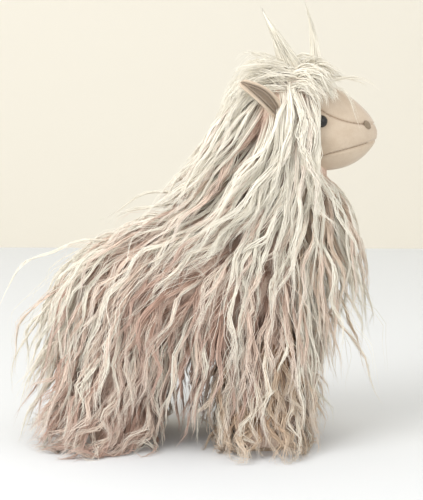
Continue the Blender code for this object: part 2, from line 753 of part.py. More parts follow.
def add_eyes(tools, bead, plastic):
    """Bead eyes with their shanks, the washers behind the cheeks, and the room that the shanks need."""
    radius = EYE_DIAMETER / 2
    shank = SHANK_DIAMETER / 2
    for side, sign in SIDES.items():
        point, outward = head_spot(HEAD_FORWARD + EYE_FORWARD, EYE_RISE, sign)
        turns = [math.pi / 2 * k / 5 for k in range(5)]
        dome = [(EYE_BULGE * math.sin(turn), radius * math.cos(turn)) for turn in turns]
        profile = [(-SHANK_LENGTH, 0), (-SHANK_LENGTH, shank - SHANK_BEVEL)]
        profile += [(SHANK_BEVEL - SHANK_LENGTH, shank), (0, shank), (0, radius - CLEARANCE)]
        profile += [*dome, (EYE_BULGE, 0)]
        seat = point + outward * CLEARANCE
        add_object(f"eye_{side}", turned_mesh(f"eye_{side}", profile, seat, outward), bead)
        inner = shank + CLEARANCE
        room = [(-SHANK_LENGTH * 2, 0), (-SHANK_LENGTH * 2, inner), (radius, inner), (radius, 0)]
        room_mesh = turned_mesh(f"shank_room_{side}", room, point, outward)
        tools[f"shank_room_{side}"] = add_object(f"shank_room_{side}", room_mesh, hidden=True)
        behind = FACE_CLOTH + CLEARANCE * 2
        outer = WASHER_DIAMETER / 2
        rim = [(-behind, inner), (-behind, outer), (-behind - WASHER_THICKNESS, outer)]
        rim.append((-behind - WASHER_THICKNESS, inner))
        add_object(f"eye_washer_{side}", ring_mesh(f"eye_washer_{side}", rim, point, outward), plastic)
        deep = behind + WASHER_THICKNESS + CLEARANCE
        wide = outer + CLEARANCE
        pocket = [(-deep, 0), (-deep, wide), (radius, wide), (radius, 0)]
        pocket_mesh = turned_mesh(f"washer_room_{side}", pocket, point, outward)
        tools[f"washer_room_{side}"] = add_object(f"washer_room_{side}", pocket_mesh, hidden=True)


def ring_mesh(name, profile, foot, axis, sides=16):
    """A ring turned from a closed profile of (distance along the axis, radius)."""
    turn = axis.to_track_quat("Z", "Y").to_matrix()
    points = []
    for i in range(sides):
        angle = 2 * math.pi * i / sides
        for along, radius in profile:
            points.append(foot + turn @ Vector((radius * math.cos(angle), radius * math.sin(angle), along)))
    size = len(profile)
    faces = []
    for i in range(sides):
        j = (i + 1) % sides
        for k in range(size):
            m = (k + 1) % size
            faces.append((i * size + k, i * size + m, j * size + m, j * size + k))
    return mesh_from(name, points, faces)


def add_nostrils(thread):
    """Satin-stitched ovals, each a low dome on the muzzle's side."""
    for side, sign in SIDES.items():
        height = NOSTRIL_RISE - MUZZLE_DROP
        point, outward = head_spot(TIP_X - NOSTRIL_FROM_TIP, height, sign)
        along = Vector((math.cos(NOSTRIL_TILT), 0, -math.sin(NOSTRIL_TILT)))
        along = (along - outward * along.dot(outward)).normalized()
        up = outward.cross(along)
        rings = []
        around = 18
        for rise, share in ((0.0, 1.0), (0.45, 0.97), (0.85, 0.7)):
            ring = []
            for k in range(around):
                turn = 2 * math.pi * k / around
                flat = along * (NOSTRIL_LENGTH / 2 * share * math.cos(turn))
                flat += up * (NOSTRIL_HEIGHT / 2 * share * math.sin(turn))
                low, normal = head_spot((point + flat).x, (point + flat).z - HEAD_MIDDLE, sign)
                ring.append(low + normal * (NOSTRIL_GAP + NOSTRIL_THICKNESS * rise))
            rings.append(ring)
        rings.append([point + outward * (NOSTRIL_GAP + NOSTRIL_THICKNESS)])
        add_object(f"nostril_{side}", loft_mesh(f"nostril_{side}", rings), thread)


def add_ears(tools, cloth, lining):
    """Folded ears, each an outer cloth and a lining set in the hood, and the slots they need."""
    slope = math.sin(EAR_OPENING / 2)
    for side, sign in SIDES.items():
        outer = ear_mesh(f"ear_shell_{side}", sign, 0, EAR_SHELL, EAR_LIP)
        shell = add_object(f"ear_shell_{side}", outer, cloth)
        seat = (EAR_SHELL + CLEARANCE) / slope
        inner = ear_mesh(f"ear_lining_{side}", sign, seat, EAR_LINING, -EAR_LIP)
        inside = add_object(f"ear_lining_{side}", inner, lining)
        combine(shell, "DIFFERENCE", tools["ear_stop"])
        combine(inside, "DIFFERENCE", tools["ear_stop"])
        thickness = EAR_SHELL + EAR_LINING + 3 * CLEARANCE
        slot = ear_mesh(f"ear_slot_{side}", sign, -CLEARANCE / slope, thickness, EAR_LIP + CLEARANCE)
        tools[f"ear_slot_{side}"] = add_object(f"ear_slot_{side}", slot, hidden=True)


def add_filling(tools, fibre, beads, felt):
    """Filling of head, neck, torso and legs, the bead bag in the belly, and the soles."""
    within = COAT_CLOTH + CLEARANCE
    head = add_object("head_filling", head_mesh("head_filling", -FACE_CLOTH - CLEARANCE), fibre)
    rooms = [tools[f"{kind}_{side}"] for kind in ("washer_room", "shank_room") for side in SIDES]
    combine(head, "DIFFERENCE", gather("eye_rooms", rooms))
    neck = add_object("neck_filling", egg_mesh("neck_filling", NECK.grown(-within)), fibre)
    rooms = [tools[name] for name in ("torso_hollow", "head_hollow", "face_room")]
    combine(neck, "DIFFERENCE", gather("neck_rooms", rooms))
    bag_middle = (0, 0, BELLY_HEIGHT + within + BAG_HEIGHT / 4)
    bag = Egg(bag_middle, (BAG_LENGTH / 2, BAG_WIDTH / 2, BAG_HEIGHT / 2))
    bag_room = add_object("bag_room", egg_mesh("bag_room", bag.grown(CLEARANCE)), hidden=True)
    torso_shape = add_object("torso_shape", egg_mesh("torso_shape", TORSO.grown(-within)), hidden=True)
    torso = add_object("torso_filling", egg_mesh("torso_filling", TORSO.grown(-within)), fibre)
    combine(torso, "DIFFERENCE", bag_room)
    bag_solid = add_object("bead_bag", egg_mesh("bead_bag", bag), beads)
    combine(bag_solid, "INTERSECT", torso_shape)
    for place, leg in LEGS.items():
        shape = egg_mesh(f"leg_filling_{place}", leg.grown(-within), 12, 9)
        stump = add_object(f"leg_filling_{place}", shape, fibre)
        combine(stump, "DIFFERENCE", tools["torso_hollow"])
        combine(stump, "DIFFERENCE", tools["ground_slab"])
        add_object(f"sole_{place}", sole_mesh(f"sole_{place}", leg, 0, 0, SOLE_THICKNESS), felt)


def centre_model():
    """Moves the frame so that the middle of the model's footprint is the origin."""
    bpy.context.view_layer.update()
    graph = bpy.context.evaluated_depsgraph_get()
    corners = []
    for item in bpy.context.scene.objects:
        if item.type == "MESH" and not item.hide_render:
            shape = item.evaluated_get(graph).to_mesh()
            points = np.empty(len(shape.vertices) * 3)
            shape.vertices.foreach_get("co", points)
            points = points.reshape(-1, 3)
            corners += [points.min(0), points.max(0)]
    low, high = np.min(corners, 0), np.max(corners, 0)
    bpy.data.objects[FRAME_NAME].location = (-(low[0] + high[0]) / 2, -(low[1] + high[1]) / 2, -low[2])


def main():
    for item in list(bpy.data.objects):
        bpy.data.objects.remove(item, do_unlink=True)
    frame = bpy.data.objects.new(FRAME_NAME, None)
    bpy.context.scene.collection.objects.link(frame)
    pile = material("long_pile", (0.62, 0.49, 0.38), 0.9)
    face_cloth = material("short_pile", (0.70, 0.55, 0.40), 0.85)
    lining = material("ear_lining", (0.36, 0.28, 0.21), 0.85)
    bead = material("black_bead", (0.01, 0.008, 0.007), 0.12)
    thread = material("satin_thread", (0.38, 0.30, 0.21), 0.5)
    plastic = material("washer_plastic", (0.8, 0.8, 0.78), 0.4)
    fibre = material("polyester_fibre", (0.9, 0.9, 0.88), 0.95)
    beads = material("bead_bag_cloth", (0.75, 0.74, 0.7), 0.8)
    felt = material("sole_felt", (0.55, 0.44, 0.33), 0.9)
    tools = hidden_tools()
    add_eyes(tools, bead, plastic)
    add_face(tools, face_cloth)
    add_nostrils(thread)
    add_ears(tools, face_cloth, lining)
    add_filling(tools, fibre, beads, felt)
    add_coat(tools, pile)
    centre_model()


main()
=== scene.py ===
"""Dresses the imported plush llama: long pile, face panels, ears, eyes, nostrils and the stage."""

import math

import bmesh
import bpy
import numpy as np
from bpy.props import FloatProperty, FloatVectorProperty, IntProperty, PointerProperty
from mathutils import Matrix, Vector


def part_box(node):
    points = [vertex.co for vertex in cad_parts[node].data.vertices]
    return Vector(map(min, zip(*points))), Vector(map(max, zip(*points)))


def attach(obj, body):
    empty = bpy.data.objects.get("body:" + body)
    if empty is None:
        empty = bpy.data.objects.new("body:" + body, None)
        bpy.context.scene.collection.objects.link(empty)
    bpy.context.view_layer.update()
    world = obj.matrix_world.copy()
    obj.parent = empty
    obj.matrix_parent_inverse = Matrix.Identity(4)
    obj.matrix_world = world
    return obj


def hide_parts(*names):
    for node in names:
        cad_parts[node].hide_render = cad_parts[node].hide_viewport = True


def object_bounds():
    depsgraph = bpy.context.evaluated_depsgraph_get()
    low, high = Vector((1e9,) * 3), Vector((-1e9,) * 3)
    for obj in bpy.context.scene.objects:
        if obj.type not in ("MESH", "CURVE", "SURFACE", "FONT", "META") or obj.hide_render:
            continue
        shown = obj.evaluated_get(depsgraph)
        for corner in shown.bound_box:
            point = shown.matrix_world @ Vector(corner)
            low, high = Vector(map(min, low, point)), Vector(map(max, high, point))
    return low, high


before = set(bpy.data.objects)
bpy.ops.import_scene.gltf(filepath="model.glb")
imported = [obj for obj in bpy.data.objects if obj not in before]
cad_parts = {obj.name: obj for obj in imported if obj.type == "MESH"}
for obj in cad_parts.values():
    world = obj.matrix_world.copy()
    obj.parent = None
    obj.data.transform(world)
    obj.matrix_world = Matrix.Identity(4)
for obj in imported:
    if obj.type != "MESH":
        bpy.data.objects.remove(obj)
cad_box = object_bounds()

bl_info = {
    "name": "Plush Llama",
    "version": (1, 0, 0),
    "blender": (4, 5, 0),
    "location": "View3D > Sidebar > Plush Llama",
    "description": "Dresses the packed llama with its pile, face, ears, eyes and stage",
    "category": "Object",
}

MM = 0.001

# Stuffed forms under the coat, as they are sewn
TORSO_SIZE = (168 * MM, 92 * MM, 94 * MM)
BELLY_HEIGHT = 64 * MM
NECK_SIZE = (74 * MM, 64 * MM, 150 * MM)
NECK_FORWARD = 60 * MM
NECK_RISE = 67 * MM
NECK_LEAN = math.radians(5)
SKULL_LENGTH = 45 * MM
MUZZLE_LENGTH = 54 * MM
HEAD_WIDTH = 60 * MM
HEAD_HEIGHT = 67 * MM
HEAD_FORWARD = 79 * MM
HEAD_RISE = 122 * MM
MUZZLE_DROP = 8 * MM
SKULL_ROUNDING = 0.5
MUZZLE_ROUNDING = 0.6
LEG_SIZE = (50 * MM, 42 * MM, 128 * MM)
LEG_MIDDLE = 40 * MM
FRONT_LEG_FORWARD = 52 * MM
REAR_LEG_BACK = 54 * MM
LEG_SPREAD = 48 * MM
COAT_CLOTH = 4 * MM
FACE_CLOTH = 1.8 * MM
HOOD_GROWTH = COAT_CLOTH - FACE_CLOTH

# Face seams, heights over the head's middle line
FACE_EDGE = 3.5 * MM
UPPER_SEAM_BACK = 16 * MM
UPPER_SEAM_FRONT = 7 * MM
UPPER_SEAM_CURVE = 2.6
LOWER_SEAM_BACK = -26 * MM
LOWER_SEAM_FRONT = -12.5 * MM
EYE_FORWARD = 12 * MM
EYE_RISE = 1.5 * MM
NOSTRIL_FROM_TIP = 8.5 * MM
NOSTRIL_RISE = 6.5 * MM
NOSTRIL_TILT = math.radians(24)

# Ears, as they are folded and set in the hood
EAR_LENGTH = 36 * MM
EAR_ARM = 11 * MM
EAR_OPENING = math.radians(62)
EAR_BACK = 21 * MM
EAR_RISE = 9 * MM
EAR_PITCH = math.radians(140)
EAR_SPLAY = math.radians(18)
EAR_BOW = 3 * MM
CLOTH_VOXEL = 3.2 * MM
CAMERA_AIM = (9.5 * MM, 0, 140 * MM)

# How the pile is combed, at named places on the llama's side: forward and up place in mm,
# heading forward, out to the side and up, length in mm, and how pale the pile is there
COMBING = {
    "forelock": (78, 268, 0.8, 0.4, -0.4, 48, 0.97),
    "crown": (62, 270, -0.1, 0.7, -0.75, 150, 0.97),
    "poll": (46, 266, -0.75, 0.45, -0.55, 105, 0.95),
    "temple": (79, 250, 0.3, 0.08, -1.0, 165, 0.97),
    "ear_parting": (58, 256, 0.3, 0.12, -0.95, 125, 0.97),
    "cheek_edge": (84, 214, -0.08, 0.04, -1.0, 140, 0.95),
    "ear_front": (67, 236, -0.08, 0.1, -1.0, 160, 0.95),
    "below_ear": (54, 214, -0.6, 0.08, -0.8, 125, 0.7),
    "behind_ear": (34, 240, -0.7, 0.15, -0.7, 105, 0.8),
    "nape": (24, 216, -0.65, 0.12, -0.75, 100, 0.6),
    "throat": (94, 190, 0.6, 0.1, -0.8, 95, 0.7),
    "throat_side": (83, 180, 0.08, 0.04, -1.0, 125, 0.85),
    "neck_side": (54, 188, -0.78, 0.05, -0.75, 120, 0.65),
    "neck_back": (20, 186, -0.9, 0.1, -0.5, 108, 0.65),
    "withers": (0, 166, -0.95, 0.2, -0.35, 105, 0.5),
    "chest_top": (108, 160, 0.38, 0.1, -0.92, 88, 0.8),
    "chest": (112, 128, 0.2, 0.08, -1.0, 82, 0.75),
    "mane_end": (84, 122, 0.12, 0.04, -1.0, 120, 0.85),
    "brisket": (102, 92, 0.05, 0.06, -1.0, 74, 0.45),
    "shoulder": (50, 140, -0.5, 0.05, -0.9, 115, 0.4),
    "shoulder_low": (36, 108, -0.3, 0.05, -1.0, 104, 0.35),
    "saddle": (-16, 162, -0.92, 0.3, -0.36, 105, 0.5),
    "back": (-52, 150, -0.85, 0.3, -0.5, 110, 0.8),
    "rump_top": (-76, 138, -0.7, 0.2, -0.7, 114, 1.0),
    "rump": (-92, 114, -0.38, 0.1, -0.93, 114, 1.0),
    "rump_side": (-64, 104, -0.5, 0.08, -0.88, 112, 0.55),
    "flank_top": (-22, 130, -0.78, 0.1, -0.6, 105, 0.45),
    "flank": (-12, 106, -0.42, 0.05, -0.9, 110, 0.65),
    "flank_low": (-28, 80, -0.25, 0.05, -1.0, 78, 0.35),
    "belly_edge": (2, 70, -0.15, 0.05, -1.0, 50, 0.15),
    "thigh": (-64, 60, -0.4, 0.1, -0.9, 84, 0.4),
    "hock": (-78, 14, -0.65, 0.4, -0.6, 66, 0.35),
    "elbow": (30, 68, -0.12, 0.05, -1.0, 80, 0.35),
    "shin": (54, 48, 0.02, 0.1, -1.0, 62, 0.35),
    "fetlock": (56, 12, 0.15, 0.75, -0.6, 62, 0.4),
}
COMB_REACH = 12 * MM
BANDS = 32
REACH_PAST_CAD = 8 * MM
FLYAWAY = {"lift": 0.9, "limp": 0.2, "droop": 0.3, "scatter": 0.4, "layers": (6, 14)}
PILE_PARTS = ("Root", "Middle", "Tip", "Pale", "Deep")

torso_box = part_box("torso_filling")
MIDDLE = (torso_box[0] + torso_box[1]) / 2
TORSO_Z = BELLY_HEIGHT + TORSO_SIZE[2] / 2
HEAD_X = MIDDLE.x + HEAD_FORWARD
HEAD_Z = TORSO_Z + HEAD_RISE
MUZZLE_Z = HEAD_Z - MUZZLE_DROP
FACE_X = HEAD_X + FACE_EDGE
HOOD_EDGE = FACE_X - 1.5 * MM
TIP_X = HEAD_X + MUZZLE_LENGTH
HEAD_MIDDLE = np.array((HEAD_X, MIDDLE.y, HEAD_Z))
LEG_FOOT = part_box("sole_front_right")[1].z + 0.3 * MM
SIDES = {"right": -1, "left": 1}


def linear(red, green, blue):
    """A colour given as screen values from 0 to 255, as the shader takes it."""
    return tuple(((c / 255 + 0.055) / 1.055) ** 2.4 for c in (red, green, blue))


def unit(vectors):
    return vectors / np.maximum(np.linalg.norm(vectors, axis=-1, keepdims=True), 1e-12)


def smooth(low, high, value):
    share = np.clip((value - low) / (high - low), 0, 1)
    return share * share * (3 - 2 * share)


class Egg:
    """An ellipsoid of filling, with its lean about Y."""

    def __init__(self, middle, size, lean=0.0):
        self.middle = np.array(middle, float)
        self.radii = np.array(size, float) / 2
        c, s = math.cos(lean), math.sin(lean)
        self.turn = np.array(((c, 0, s), (0, 1, 0), (-s, 0, c)))

    def spots(self, directions):
        local = directions * self.radii
        normal = directions / self.radii
        return self.middle + local @ self.turn.T, unit(normal @ self.turn.T)

    def distance(self, points):
        scaled = (points - self.middle) @ self.turn / self.radii
        size = np.linalg.norm(scaled, axis=-1)
        steep = np.linalg.norm(scaled / self.radii, axis=-1)
        return size * (size - 1) / np.maximum(steep, 1e-9)

    def area(self):
        a, b, c = self.radii**1.6
        return 4 * math.pi * ((a * b + a * c + b * c) / 3) ** (1 / 1.6)


class Head:
    """The stuffed head: rounded behind, drawn out and lowered towards the muzzle."""

    def distance(self, points):
        ahead = points[..., 0] - HEAD_X
        length = np.where(ahead > 0, MUZZLE_LENGTH, SKULL_LENGTH) + HOOD_GROWTH
        middle = MUZZLE_Z + MUZZLE_DROP * (1 - np.clip(ahead / length, 0, 1)) ** 1.5
        wide, high = (np.full_like(length, size / 2 + HOOD_GROWTH) for size in (HEAD_WIDTH, HEAD_HEIGHT))
        radii = np.stack((length, wide, high), -1)
        scaled = np.stack((ahead, points[..., 1] - MIDDLE.y, points[..., 2] - middle), -1) / radii
        size = np.linalg.norm(scaled, axis=-1)
        steep = np.linalg.norm(scaled / radii, axis=-1)
        return size * (size - 1) / np.maximum(steep, 1e-9)


def head_section(share, grown=0.0):
    """The head's x, middle height, half width and half height; share runs from -1 behind to 1 in front."""
    front = share > 0
    x = HEAD_X + share * ((MUZZLE_LENGTH if front else SKULL_LENGTH) + grown)
    profile = max(1 - share * share, 0.0) ** (MUZZLE_ROUNDING if front else SKULL_ROUNDING)
    middle = MUZZLE_Z + MUZZLE_DROP * (1 - max(share, 0.0)) ** 1.5
    return x, middle, (HEAD_WIDTH / 2 + grown) * profile, (HEAD_HEIGHT / 2 + grown) * profile


def head_share(x):
    ahead = x - HEAD_X
    return ahead / (MUZZLE_LENGTH if ahead > 0 else SKULL_LENGTH)


def head_spot(x, height, sign, grown=0.0):
    """The point of the head's side at x and a height over the middle line, and the normal there."""

    def side(at_x, at_height):
        _, middle, half_width, half_height = head_section(head_share(at_x), grown)
        above = (HEAD_Z + at_height - middle) / half_height
        return half_width * math.sqrt(max(1 - above * above, 0.0))

    step = 0.2 * MM
    point = Vector((x, MIDDLE.y + sign * side(x, height), HEAD_Z + height))
    slope_x = (side(x + step, height) - side(x - step, height)) / (2 * step)
    slope_z = (side(x, height + step) - side(x, height - step)) / (2 * step)
    return point, Vector((-slope_x, sign, -slope_z)).normalized()


def ear_line(sign):
    """The two ends of an ear's fold line."""
    base, outward = head_spot(HEAD_X - EAR_BACK, EAR_RISE, sign, HOOD_GROWTH)
    along = Vector((math.cos(EAR_PITCH), sign * math.sin(EAR_SPLAY), math.sin(EAR_PITCH))).normalized()
    start = base - outward * EAR_ARM / 2
    return start, start + along * EAR_LENGTH


TORSO = Egg((MIDDLE.x, MIDDLE.y, TORSO_Z), TORSO_SIZE)
NECK = Egg((MIDDLE.x + NECK_FORWARD, MIDDLE.y, TORSO_Z + NECK_RISE), NECK_SIZE, NECK_LEAN)
HEAD = Head()
LEGS = {
    f"{end}_{side}": Egg((MIDDLE.x + x, MIDDLE.y + sign * LEG_SPREAD / 2, LEG_MIDDLE), LEG_SIZE)
    for end, x in (("front", FRONT_LEG_FORWARD), ("rear", -REAR_LEG_BACK))
    for side, sign in SIDES.items()
}
STUFFED = [TORSO, NECK, HEAD, *LEGS.values()]
PILE_LOW = np.array(cad_box[0]) - REACH_PAST_CAD
PILE_HIGH = np.array(cad_box[1]) + REACH_PAST_CAD


def clearance(points):
    """How far points are from the nearest stuffed form, and the way straight off it."""
    step = 0.5 * MM

    def nearest(at):
        return np.min([form.distance(at) for form in STUFFED], axis=0)

    slope = [nearest(points + step * axis) - nearest(points - step * axis) for axis in np.eye(3)]
    return nearest(points), unit(np.stack(slope, -1))


def comb_at(points):
    """The heading, length and paleness that the pile is combed to at points."""
    rows = np.array(list(COMBING.values()))
    gap = points[..., None, :][..., (0, 2)] - rows[:, :2] * MM
    weight = 1 / ((gap**2).sum(-1) + COMB_REACH**2) ** 2
    mixed = weight @ rows[:, 2:] / weight.sum(-1, keepdims=True)
    side = np.sign(points[..., 1] - MIDDLE.y)
    heading = mixed[..., :3] * np.stack((np.ones_like(side), side, np.ones_like(side)), -1)
    return heading, mixed[..., 3] * MM, mixed[..., 4]


class Locks:
    """Courses of locks, with what the strands of each lock need."""

    def __init__(self, courses, paleness):
        self.courses = courses
        self.paleness = paleness
        self.length = np.linalg.norm(np.diff(courses, axis=1), axis=-1).sum(-1)
        ahead = unit(np.gradient(courses, axis=1))
        _, away = clearance(courses)
        across = np.cross(ahead, away)
        weak = np.linalg.norm(across, axis=-1, keepdims=True) < 0.2
        across = unit(np.where(weak, np.cross(ahead, (1.0, 0.0, 0.0)), across))
        self.across = across
        self.over = np.cross(across, ahead)


def lay_locks(
    rng, roots, outward, lift=0.3, limp=0.3, droop=0.3, scatter=0.24, layers=(2, 12),
    heading=None, length=None
):
    """Lays a lock from each root: out of the cloth, over into its combing, then down round the body."""
    steps = 16
    combed, combed_length, paleness = comb_at(roots)
    length = (combed_length if length is None else length) * rng.uniform(0.7, 1.12, len(roots))
    stray = rng.normal(0, scatter, roots.shape)
    layer = rng.uniform(0, 1, len(roots))
    stand = (layers[0] + (layers[1] - layers[0]) * layer)[:, None] * MM
    # Locks that lie deeper in the coat get a lower paleness, so a darker, deeper tint: painted shade between the
    # locks.
    paleness = paleness + (layer - 0.6) * 0.85
    floor = rng.uniform(0.8, 7, len(roots)) * MM
    step = (length / steps)[:, None]
    points = [roots - outward * 2 * MM]
    tangent = (combed if heading is None else heading(roots)) + stray
    tangent -= outward * np.minimum((tangent * outward).sum(-1, keepdims=True), 0)
    run = unit(outward * lift + unit(tangent) * 0.8)
    for k in range(1, steps + 1):
        share = k / steps
        pull = comb_at(points[-1])[0] if heading is None else heading(points[-1])
        run = unit(run * (1 - limp) + unit(pull + stray) * limp + np.array((0, 0, -droop * share)))
        gap, away = clearance(points[-1])
        inward = (run * away).sum(-1)
        blocked = (gap < stand[:, 0] * 1.6) & (inward < 0)
        run = unit(run - away * np.where(blocked, inward, 0)[:, None])
        point = points[-1] + run * step
        gap, away = clearance(point)
        wanted = stand[:, 0] * min(share * 3, 1)
        point = point + away * np.clip(wanted - gap, 0, None)[:, None]
        point = np.clip(point, PILE_LOW, PILE_HIGH)
        point[:, 2] = np.maximum(point[:, 2], floor)
        run = unit(point - points[-1])
        points.append(point)
    courses = drawn_together(rng, np.stack(points, 1))
    for _ in range(2):
        courses[:, 1:-1] = (courses[:, :-2] + courses[:, 1:-1] * 2 + courses[:, 2:]) / 4
    return Locks(courses, paleness)


def drawn_together(rng, courses, group=4.5, pull=0.68):
    """Courses with each few neighbouring locks drawn towards one of them, more and more to their tips."""
    leaders = rng.choice(len(courses), max(round(len(courses) / group), 1), replace=False)
    gap = np.linalg.norm(courses[:, None, 4] - courses[None, leaders, 4], axis=-1)
    nearest = leaders[np.argmin(gap, axis=1)]
    own_pull = pull * rng.uniform(0.5, 1.2, (len(courses), 1, 1))
    share = smooth(0.1, 1.0, np.linspace(0, 1, courses.shape[1]))[None, :, None]
    near = smooth(26 * MM, 10 * MM, np.min(gap, axis=1))[:, None, None]
    return courses + (courses[nearest] - courses) * own_pull * share * near


def over_ears(points):
    """Which points lie over an ear's open side, seen from the llama's own side."""
    covered = np.zeros(points.shape[:-1], bool)
    for sign in SIDES.values():
        start, end = (np.array(spot) for spot in ear_line(sign))
        run = end - start
        share = np.clip((points - start) @ run / (run @ run), 0, 1)
        off = points - start - share[..., None] * run
        proud = off[..., 1] * sign > -1 * MM
        covered |= proud & (share > 0.15) & (np.linalg.norm(off[..., (0, 2)], axis=-1) < 6 * MM)
    return covered


def parted(rng, locks):
    """The locks that leave the ears, the eyes and the cheeks free, but for a few strays."""
    x, height = locks.courses[..., 0], locks.courses[..., 2] - HEAD_Z
    over_cheek = (x > HEAD_X + EYE_FORWARD) & (abs(height + 6 * MM) < 30 * MM)
    free = ~np.any(over_ears(locks.courses) | over_cheek, axis=1) | (rng.uniform(0, 1, len(x)) < 0.01)
    return Locks(locks.courses[free], locks.paleness[free])


def between(rows, along):
    """Values of rows (lock, knot, 3) at shares along (lock, strand, ring), on a smooth curve."""
    last = rows.shape[1] - 1
    place = along * last
    knot = np.clip(np.floor(place).astype(int), 0, last - 1)
    t = (place - knot)[..., None]
    lock = np.arange(len(rows))[:, None, None]
    a, b, c, d = (rows[lock, np.clip(knot + k, 0, last)] for k in (-1, 0, 1, 2))
    return b + 0.5 * t * (c - a + t * (2 * a - 5 * b + 4 * c - d + t * (3 * (b - c) + d - a)))


def strand_mesh(
    name, rng, locks, sizes, strands, rings, width=1.0, thickness=1.0, wave=1.0, curl=1.0, pale=0.0,
    mix=0.16, gather=0.5, peaked=False, fleece=0.25
):
    """A mesh of tapered three-sided strands, gathered in locks; its map has tint across and length along.

    A strand is shaded partly as a round thread and partly, by fleece, as the coat that it lies in.
    """
    count = len(locks.courses)
    if not count:
        raise ValueError(f"{name} has no locks")
    shape = (count, strands, 1)
    shares = np.linspace(0, 1, rings)
    ends = rng.uniform(0.5 if peaked else 0.72, 1.0, shape)
    along = ends * shares
    place = between(locks.courses, along)
    across = unit(between(locks.across, along))
    over = unit(between(locks.over, along))
    length = locks.length[:, None, None]

    open_tip = rng.uniform(0.05, 0.4, (count, 1, 1))
    spread = 1 - gather * smooth(0, 0.35, along)
    spread = spread * (1 - (1 - open_tip) * min(gather * 1.8, 1) * smooth(0.45, 1.0, along))
    if peaked:
        spread = np.broadcast_to((1 - along) ** 1.15, spread.shape)
    angle = rng.uniform(0, 2 * math.pi, shape)
    reach = np.sqrt(rng.uniform(0, 1, shape))
    half = sizes.lock_width / 2 * width * rng.uniform(0.7, 1.3, (count, 1, 1))
    off_across = half * reach * np.cos(angle) * spread
    off_over = half * (1.0 if peaked else 0.45) * reach * np.sin(angle) * spread
    outward = across * np.cos(angle)[..., None] + over * np.sin(angle)[..., None] if peaked else over

    grow_in = smooth(0.05, 0.6, along)
    bend = rng.uniform(0.5, 1.3, (count, 1, 1)) * sizes.lock_wave * wave
    turn = rng.uniform(0.75, 1.35, (count, 1, 1)) * sizes.wave_length * curl
    phase = rng.uniform(0, 2 * math.pi, (2, count, 1, 1))
    off_across += bend * grow_in * np.sin(2 * math.pi * along * length / turn + phase[0])
    off_over += bend * 0.6 * grow_in * np.sin(2 * math.pi * along * length / (turn * 1.3) + phase[1])
    loose = rng.uniform(0, 1, shape) ** 3
    own = (0.35 + 2.6 * loose) * sizes.strand_wave * wave
    own_turn = rng.uniform(0.6, 1.4, shape) * sizes.wave_length * curl
    own_phase = rng.uniform(0, 2 * math.pi, (2, *shape))
    off_across += own * grow_in * np.sin(2 * math.pi * along * length / own_turn + own_phase[0])
    off_over += own * 0.7 * grow_in * np.sin(2 * math.pi * along * length / own_turn + own_phase[1])
    place = place + across * off_across[..., None] + over * off_over[..., None]

    radius = sizes.strand_thickness / 2 * thickness * rng.uniform(0.75, 1.2, shape) * (1 - 0.55 * loose)
    radius = radius * (0.75 + 0.25 * smooth(0, 0.3, shares)) * (1 - smooth(0.45, 1.02, shares) * 0.9)
    floor = radius + 0.1 * MM
    place[..., 2] = np.maximum(place[..., 2], floor)
    ahead = unit(np.gradient(place, axis=2))
    side = unit(np.cross(ahead, over))
    up = np.cross(ahead, side)
    roll = rng.uniform(0, 2 * math.pi, shape)
    corners, leans = [], []
    for k in range(3):
        corner = roll + 2 * math.pi * k / 3
        offset = side * np.cos(corner)[..., None] + up * np.sin(corner)[..., None]
        corners.append(place + offset * radius[..., None])
        leans.append(unit(outward * fleece + offset))
    rows = (count * strands, (rings - 1) * 3, 3)
    tube, lean = (np.stack(sides, 3)[:, :, :-1].reshape(rows) for sides in (corners, leans))
    tip_row = (count * strands, 1, 3)
    points = np.concatenate((tube, place[:, :, -1].reshape(tip_row)), 1)
    normals = np.concatenate((lean, outward[:, :, -1].reshape(tip_row)), 1).reshape(-1, 3)
    points[..., 2] = np.maximum(points[..., 2], 0.05 * MM)

    per = points.shape[1]
    start = (np.arange(count * strands) * per)[:, None, None]
    ring, edge = np.meshgrid(np.arange(rings - 2), np.arange(3), indexing="ij")
    ring, edge = ring.ravel(), edge.ravel()
    near = ring * 3
    next_edge = (edge + 1) % 3
    quad = np.stack((near + edge, near + next_edge, near + 3 + next_edge, near + 3 + edge), -1)
    quads = (start + quad[None]).reshape(-1, 4)
    last = (rings - 2) * 3
    tip = np.array([(last + k, last + (k + 1) % 3, per - 1) for k in range(3)] + [(2, 1, 0)])
    triangles = (start + tip[None]).reshape(-1, 3)

    # Tint across the map, from each lock's paleness; the lower paleness of inner and belly locks gives painted
    # shade.
    tint = 1 - locks.paleness[:, None] - pale + rng.normal(0, mix, (count, 1))
    tint = tint + rng.normal(0, 0.08, (count, strands))
    band = np.clip(np.round(tint * (BANDS - 1)), 0, BANDS - 1).reshape(-1, 1, 1)
    quad_u = np.stack((edge, edge + 1, edge + 1, edge), -1)[None] / 3
    quad_v = shares[np.stack((ring, ring, ring + 1, ring + 1), -1)][None]
    tip_u = np.array([(k / 3, (k + 1) / 3, (k + 0.5) / 3) for k in range(3)] + [(0.7, 0.5, 0.3)])[None]
    tip_v = np.array([(shares[-2], shares[-2], 1.0)] * 3 + [(0.0, 0.01, 0.0)])[None]
    lofts = []
    for u, v in ((quad_u, quad_v), (tip_u, tip_v)):
        across_map = (band + 0.04 + 0.92 * u) / BANDS
        lofts.append(np.stack((across_map, np.broadcast_to(v, across_map.shape)), -1).reshape(-1, 2))
    mesh = mesh_of(name, points.reshape(-1, 3), quads, triangles, np.concatenate(lofts))
    mesh.normals_split_custom_set_from_vertices(normals)
    return mesh


